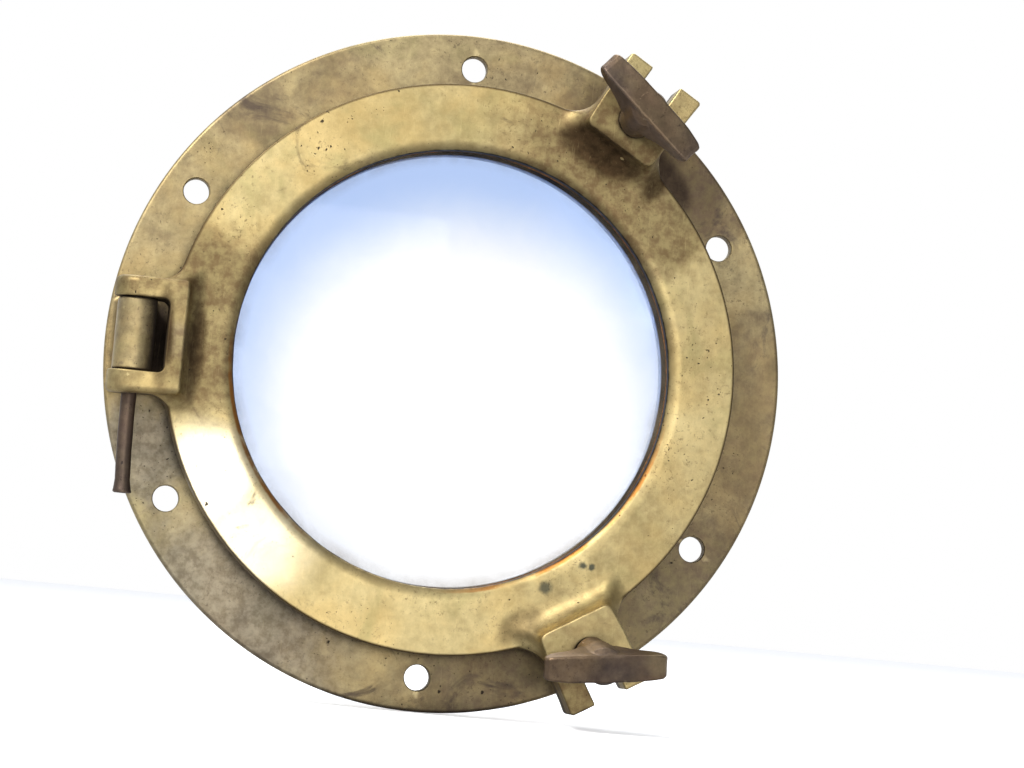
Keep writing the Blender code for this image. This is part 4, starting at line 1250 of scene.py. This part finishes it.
def make_stage():
    """The floor, the world and four soft lights."""
    corners = [(-9.0, -9.0), (9.0, -9.0), (9.0, 9.0), (-9.0, 9.0)]
    floor_mesh = raw_mesh("floor", np.array([(x, y, FLOOR_Z) for x, y in corners]), [[0, 1, 2, 3]])
    floor = linked("floor", floor_mesh)
    floor_mesh.materials.append(pale_floor("floor_paper"))
    make_world()

    warm, white, middle = (1.0, 0.98, 0.95), (1.0, 1.0, 1.0), (0.0, 0.0, 0.0)
    area_light("key", (-1.1, -1.5, 1.5), middle, (0.36, 0.36), 44.0, warm)
    area_light("front", (-0.2, -2.4, 0.15), middle, (0.9, 0.9), 5.5, warm)
    area_light("low", (0.03, -2.3, 0.0), (-0.1, 0.0, -0.05), (0.32, 0.26), 5.0, white)
    area_light("over", (0.2, 1.3, 2.2), (0.2, 0.9, -0.15), (2.2, 2.2), 60.0, white)
    bpy.context.scene.view_settings.view_transform = "Standard"


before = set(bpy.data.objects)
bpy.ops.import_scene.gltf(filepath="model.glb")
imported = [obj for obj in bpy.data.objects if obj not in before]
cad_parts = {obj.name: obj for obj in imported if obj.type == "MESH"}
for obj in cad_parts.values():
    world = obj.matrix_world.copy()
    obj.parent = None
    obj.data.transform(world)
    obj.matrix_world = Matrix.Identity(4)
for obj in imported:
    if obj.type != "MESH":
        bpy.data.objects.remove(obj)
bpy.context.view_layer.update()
make_camera()
make_stage()

bright = aged_brass(
    "worn_yellow_brass",
    clean=opaque(0.61, 0.495, 0.245),
    patina=opaque(0.39, 0.305, 0.138),
    dark=opaque(0.085, 0.053, 0.026),
    bare=opaque(0.92, 0.83, 0.60),
    cover=0.465,
    uneven=0.13,
    blotch=0.61,
    pits=0.9,
    rough=0.42,
    seed=0.0,
    marks=(
        ("brown", -0.106, 0.028, 0.036, 0.85),
        ("brown", -0.106, -0.008, 0.036, 0.85),
        ("brown", -0.143, 0.024, 0.018, 0.80),
        ("brown", -0.143, -0.024, 0.018, 0.40),
        ("brown", 0.056, 0.094, 0.066, 0.90),
        ("brown", 0.040, 0.116, 0.014, 0.85),
        ("brown", 0.080, 0.072, 0.040, 0.85),
        ("brown", 0.120, 0.030, 0.060, 0.25),
        ("brown", 0.108, -0.060, 0.060, 0.25),
        ("brown", 0.062, -0.106, 0.030, 0.40),
        ("brown", 0.063, -0.139, 0.026, 0.85),
        # dark: painted shade with some dirt and dark patina, in and beside the upper lug's fillet, beside
        # the lower lug, in the gap by the hinge knuckle and right of the clevis
        ("dark", 0.0552, 0.1020, 0.0105, 1.0, 149.4, 2.7),
        ("dark", 0.0815, 0.0900, 0.0070, 0.70, 59.4, 1.8),
        ("dark", 0.0400, -0.1100, 0.0090, 0.55, 30.6, 1.6),
        ("dark", -0.1285, 0.0005, 0.0062, 1.0, 90.0, 4.2),
        ("dark", -0.1130, 0.0000, 0.0055, 0.80, 90.0, 5.0),
        # painted highlight on polished places: the ring's lower left and the clevis web
        ("highlight_and_polish", -0.104, -0.058, 0.032, 0.85),
        ("highlight_and_polish", -0.082, -0.084, 0.034, 0.60),
        ("highlight_and_polish", -0.121, 0.0, 0.009, 0.35),
        ("spot", 0.050, -0.092, 0.0042, 0.85),
        ("spot", 0.066, -0.081, 0.0026, 0.95),
        ("spot", 0.0695, -0.0812, 0.0020, 0.95),
        # small painted highlights on polished points by the upper lug
        ("highlight_and_polish", 0.078, 0.088, 0.0022, 1.0),
        ("highlight_and_polish", 0.030, 0.098, 0.0016, 1.0),
    ),
    window=True,
)
dull = aged_brass(
    "dull_brown_brass",
    clean=opaque(0.48, 0.39, 0.205),
    patina=opaque(0.235, 0.178, 0.102),
    dark=opaque(0.078, 0.052, 0.041),
    bare=opaque(0.62, 0.55, 0.40),
    cover=0.48,
    uneven=0.20,
    blotch=0.565,
    pits=0.8,
    rough=0.46,
    seed=3.1,
    marks=(
        ("brown", 0.078, 0.116, 0.050, 0.75),
        ("brown", 0.106, 0.088, 0.032, 0.75),
        ("brown", 0.150, -0.010, 0.075, 0.40),
        ("brown", 0.110, -0.090, 0.060, 0.55),
        ("brown", 0.040, -0.140, 0.060, 0.50),
        ("brown", -0.065, 0.128, 0.026, 0.30),
        ("brown", -0.094, 0.110, 0.022, 0.30),
        ("grey", -0.085, -0.119, 0.075, 0.65),
        ("grey", -0.128, -0.050, 0.036, 0.65),
        # dark: painted shadow of the upper lug on the flange, and painted shade in the gap by the hinge
        # knuckle
        ("dark", 0.0930, 0.0960, 0.0090, 0.70, -52.0, 2.2),
        ("dark", -0.1290, 0.0005, 0.0050, 0.90, 90.0, 4.6),
    ),
)
dark = aged_brass(
    "dark_patina_brass",
    clean=opaque(0.250, 0.185, 0.120),
    patina=opaque(0.120, 0.088, 0.076),
    dark=opaque(0.045, 0.031, 0.031),
    bare=opaque(0.46, 0.37, 0.20),
    cover=0.51,
    uneven=0.22,
    blotch=0.59,
    pits=0.6,
    rough=0.42,
    seed=7.7,
    marks=(
        # painted highlight on rubbed, polished places
        ("highlight_and_polish", 0.066, 0.151, 0.012, 0.55),
        ("highlight_and_polish", 0.104, 0.106, 0.010, 0.50),
        ("highlight_and_polish", 0.098, -0.118, 0.010, 0.30),
        ("brown", -0.140, -0.045, 0.050, 0.55),
    ),
)
glass = clear_glass("window_glass_clear")
bedding = putty("old_putty")
rubber = black_rubber("old_rubber")

build_main_frame(dull)
build_glass_frame(bright)
build_glazing(glass, bedding, rubber)
build_retainer(dull, dark)
build_pin(dark)
build_dogs(dark)
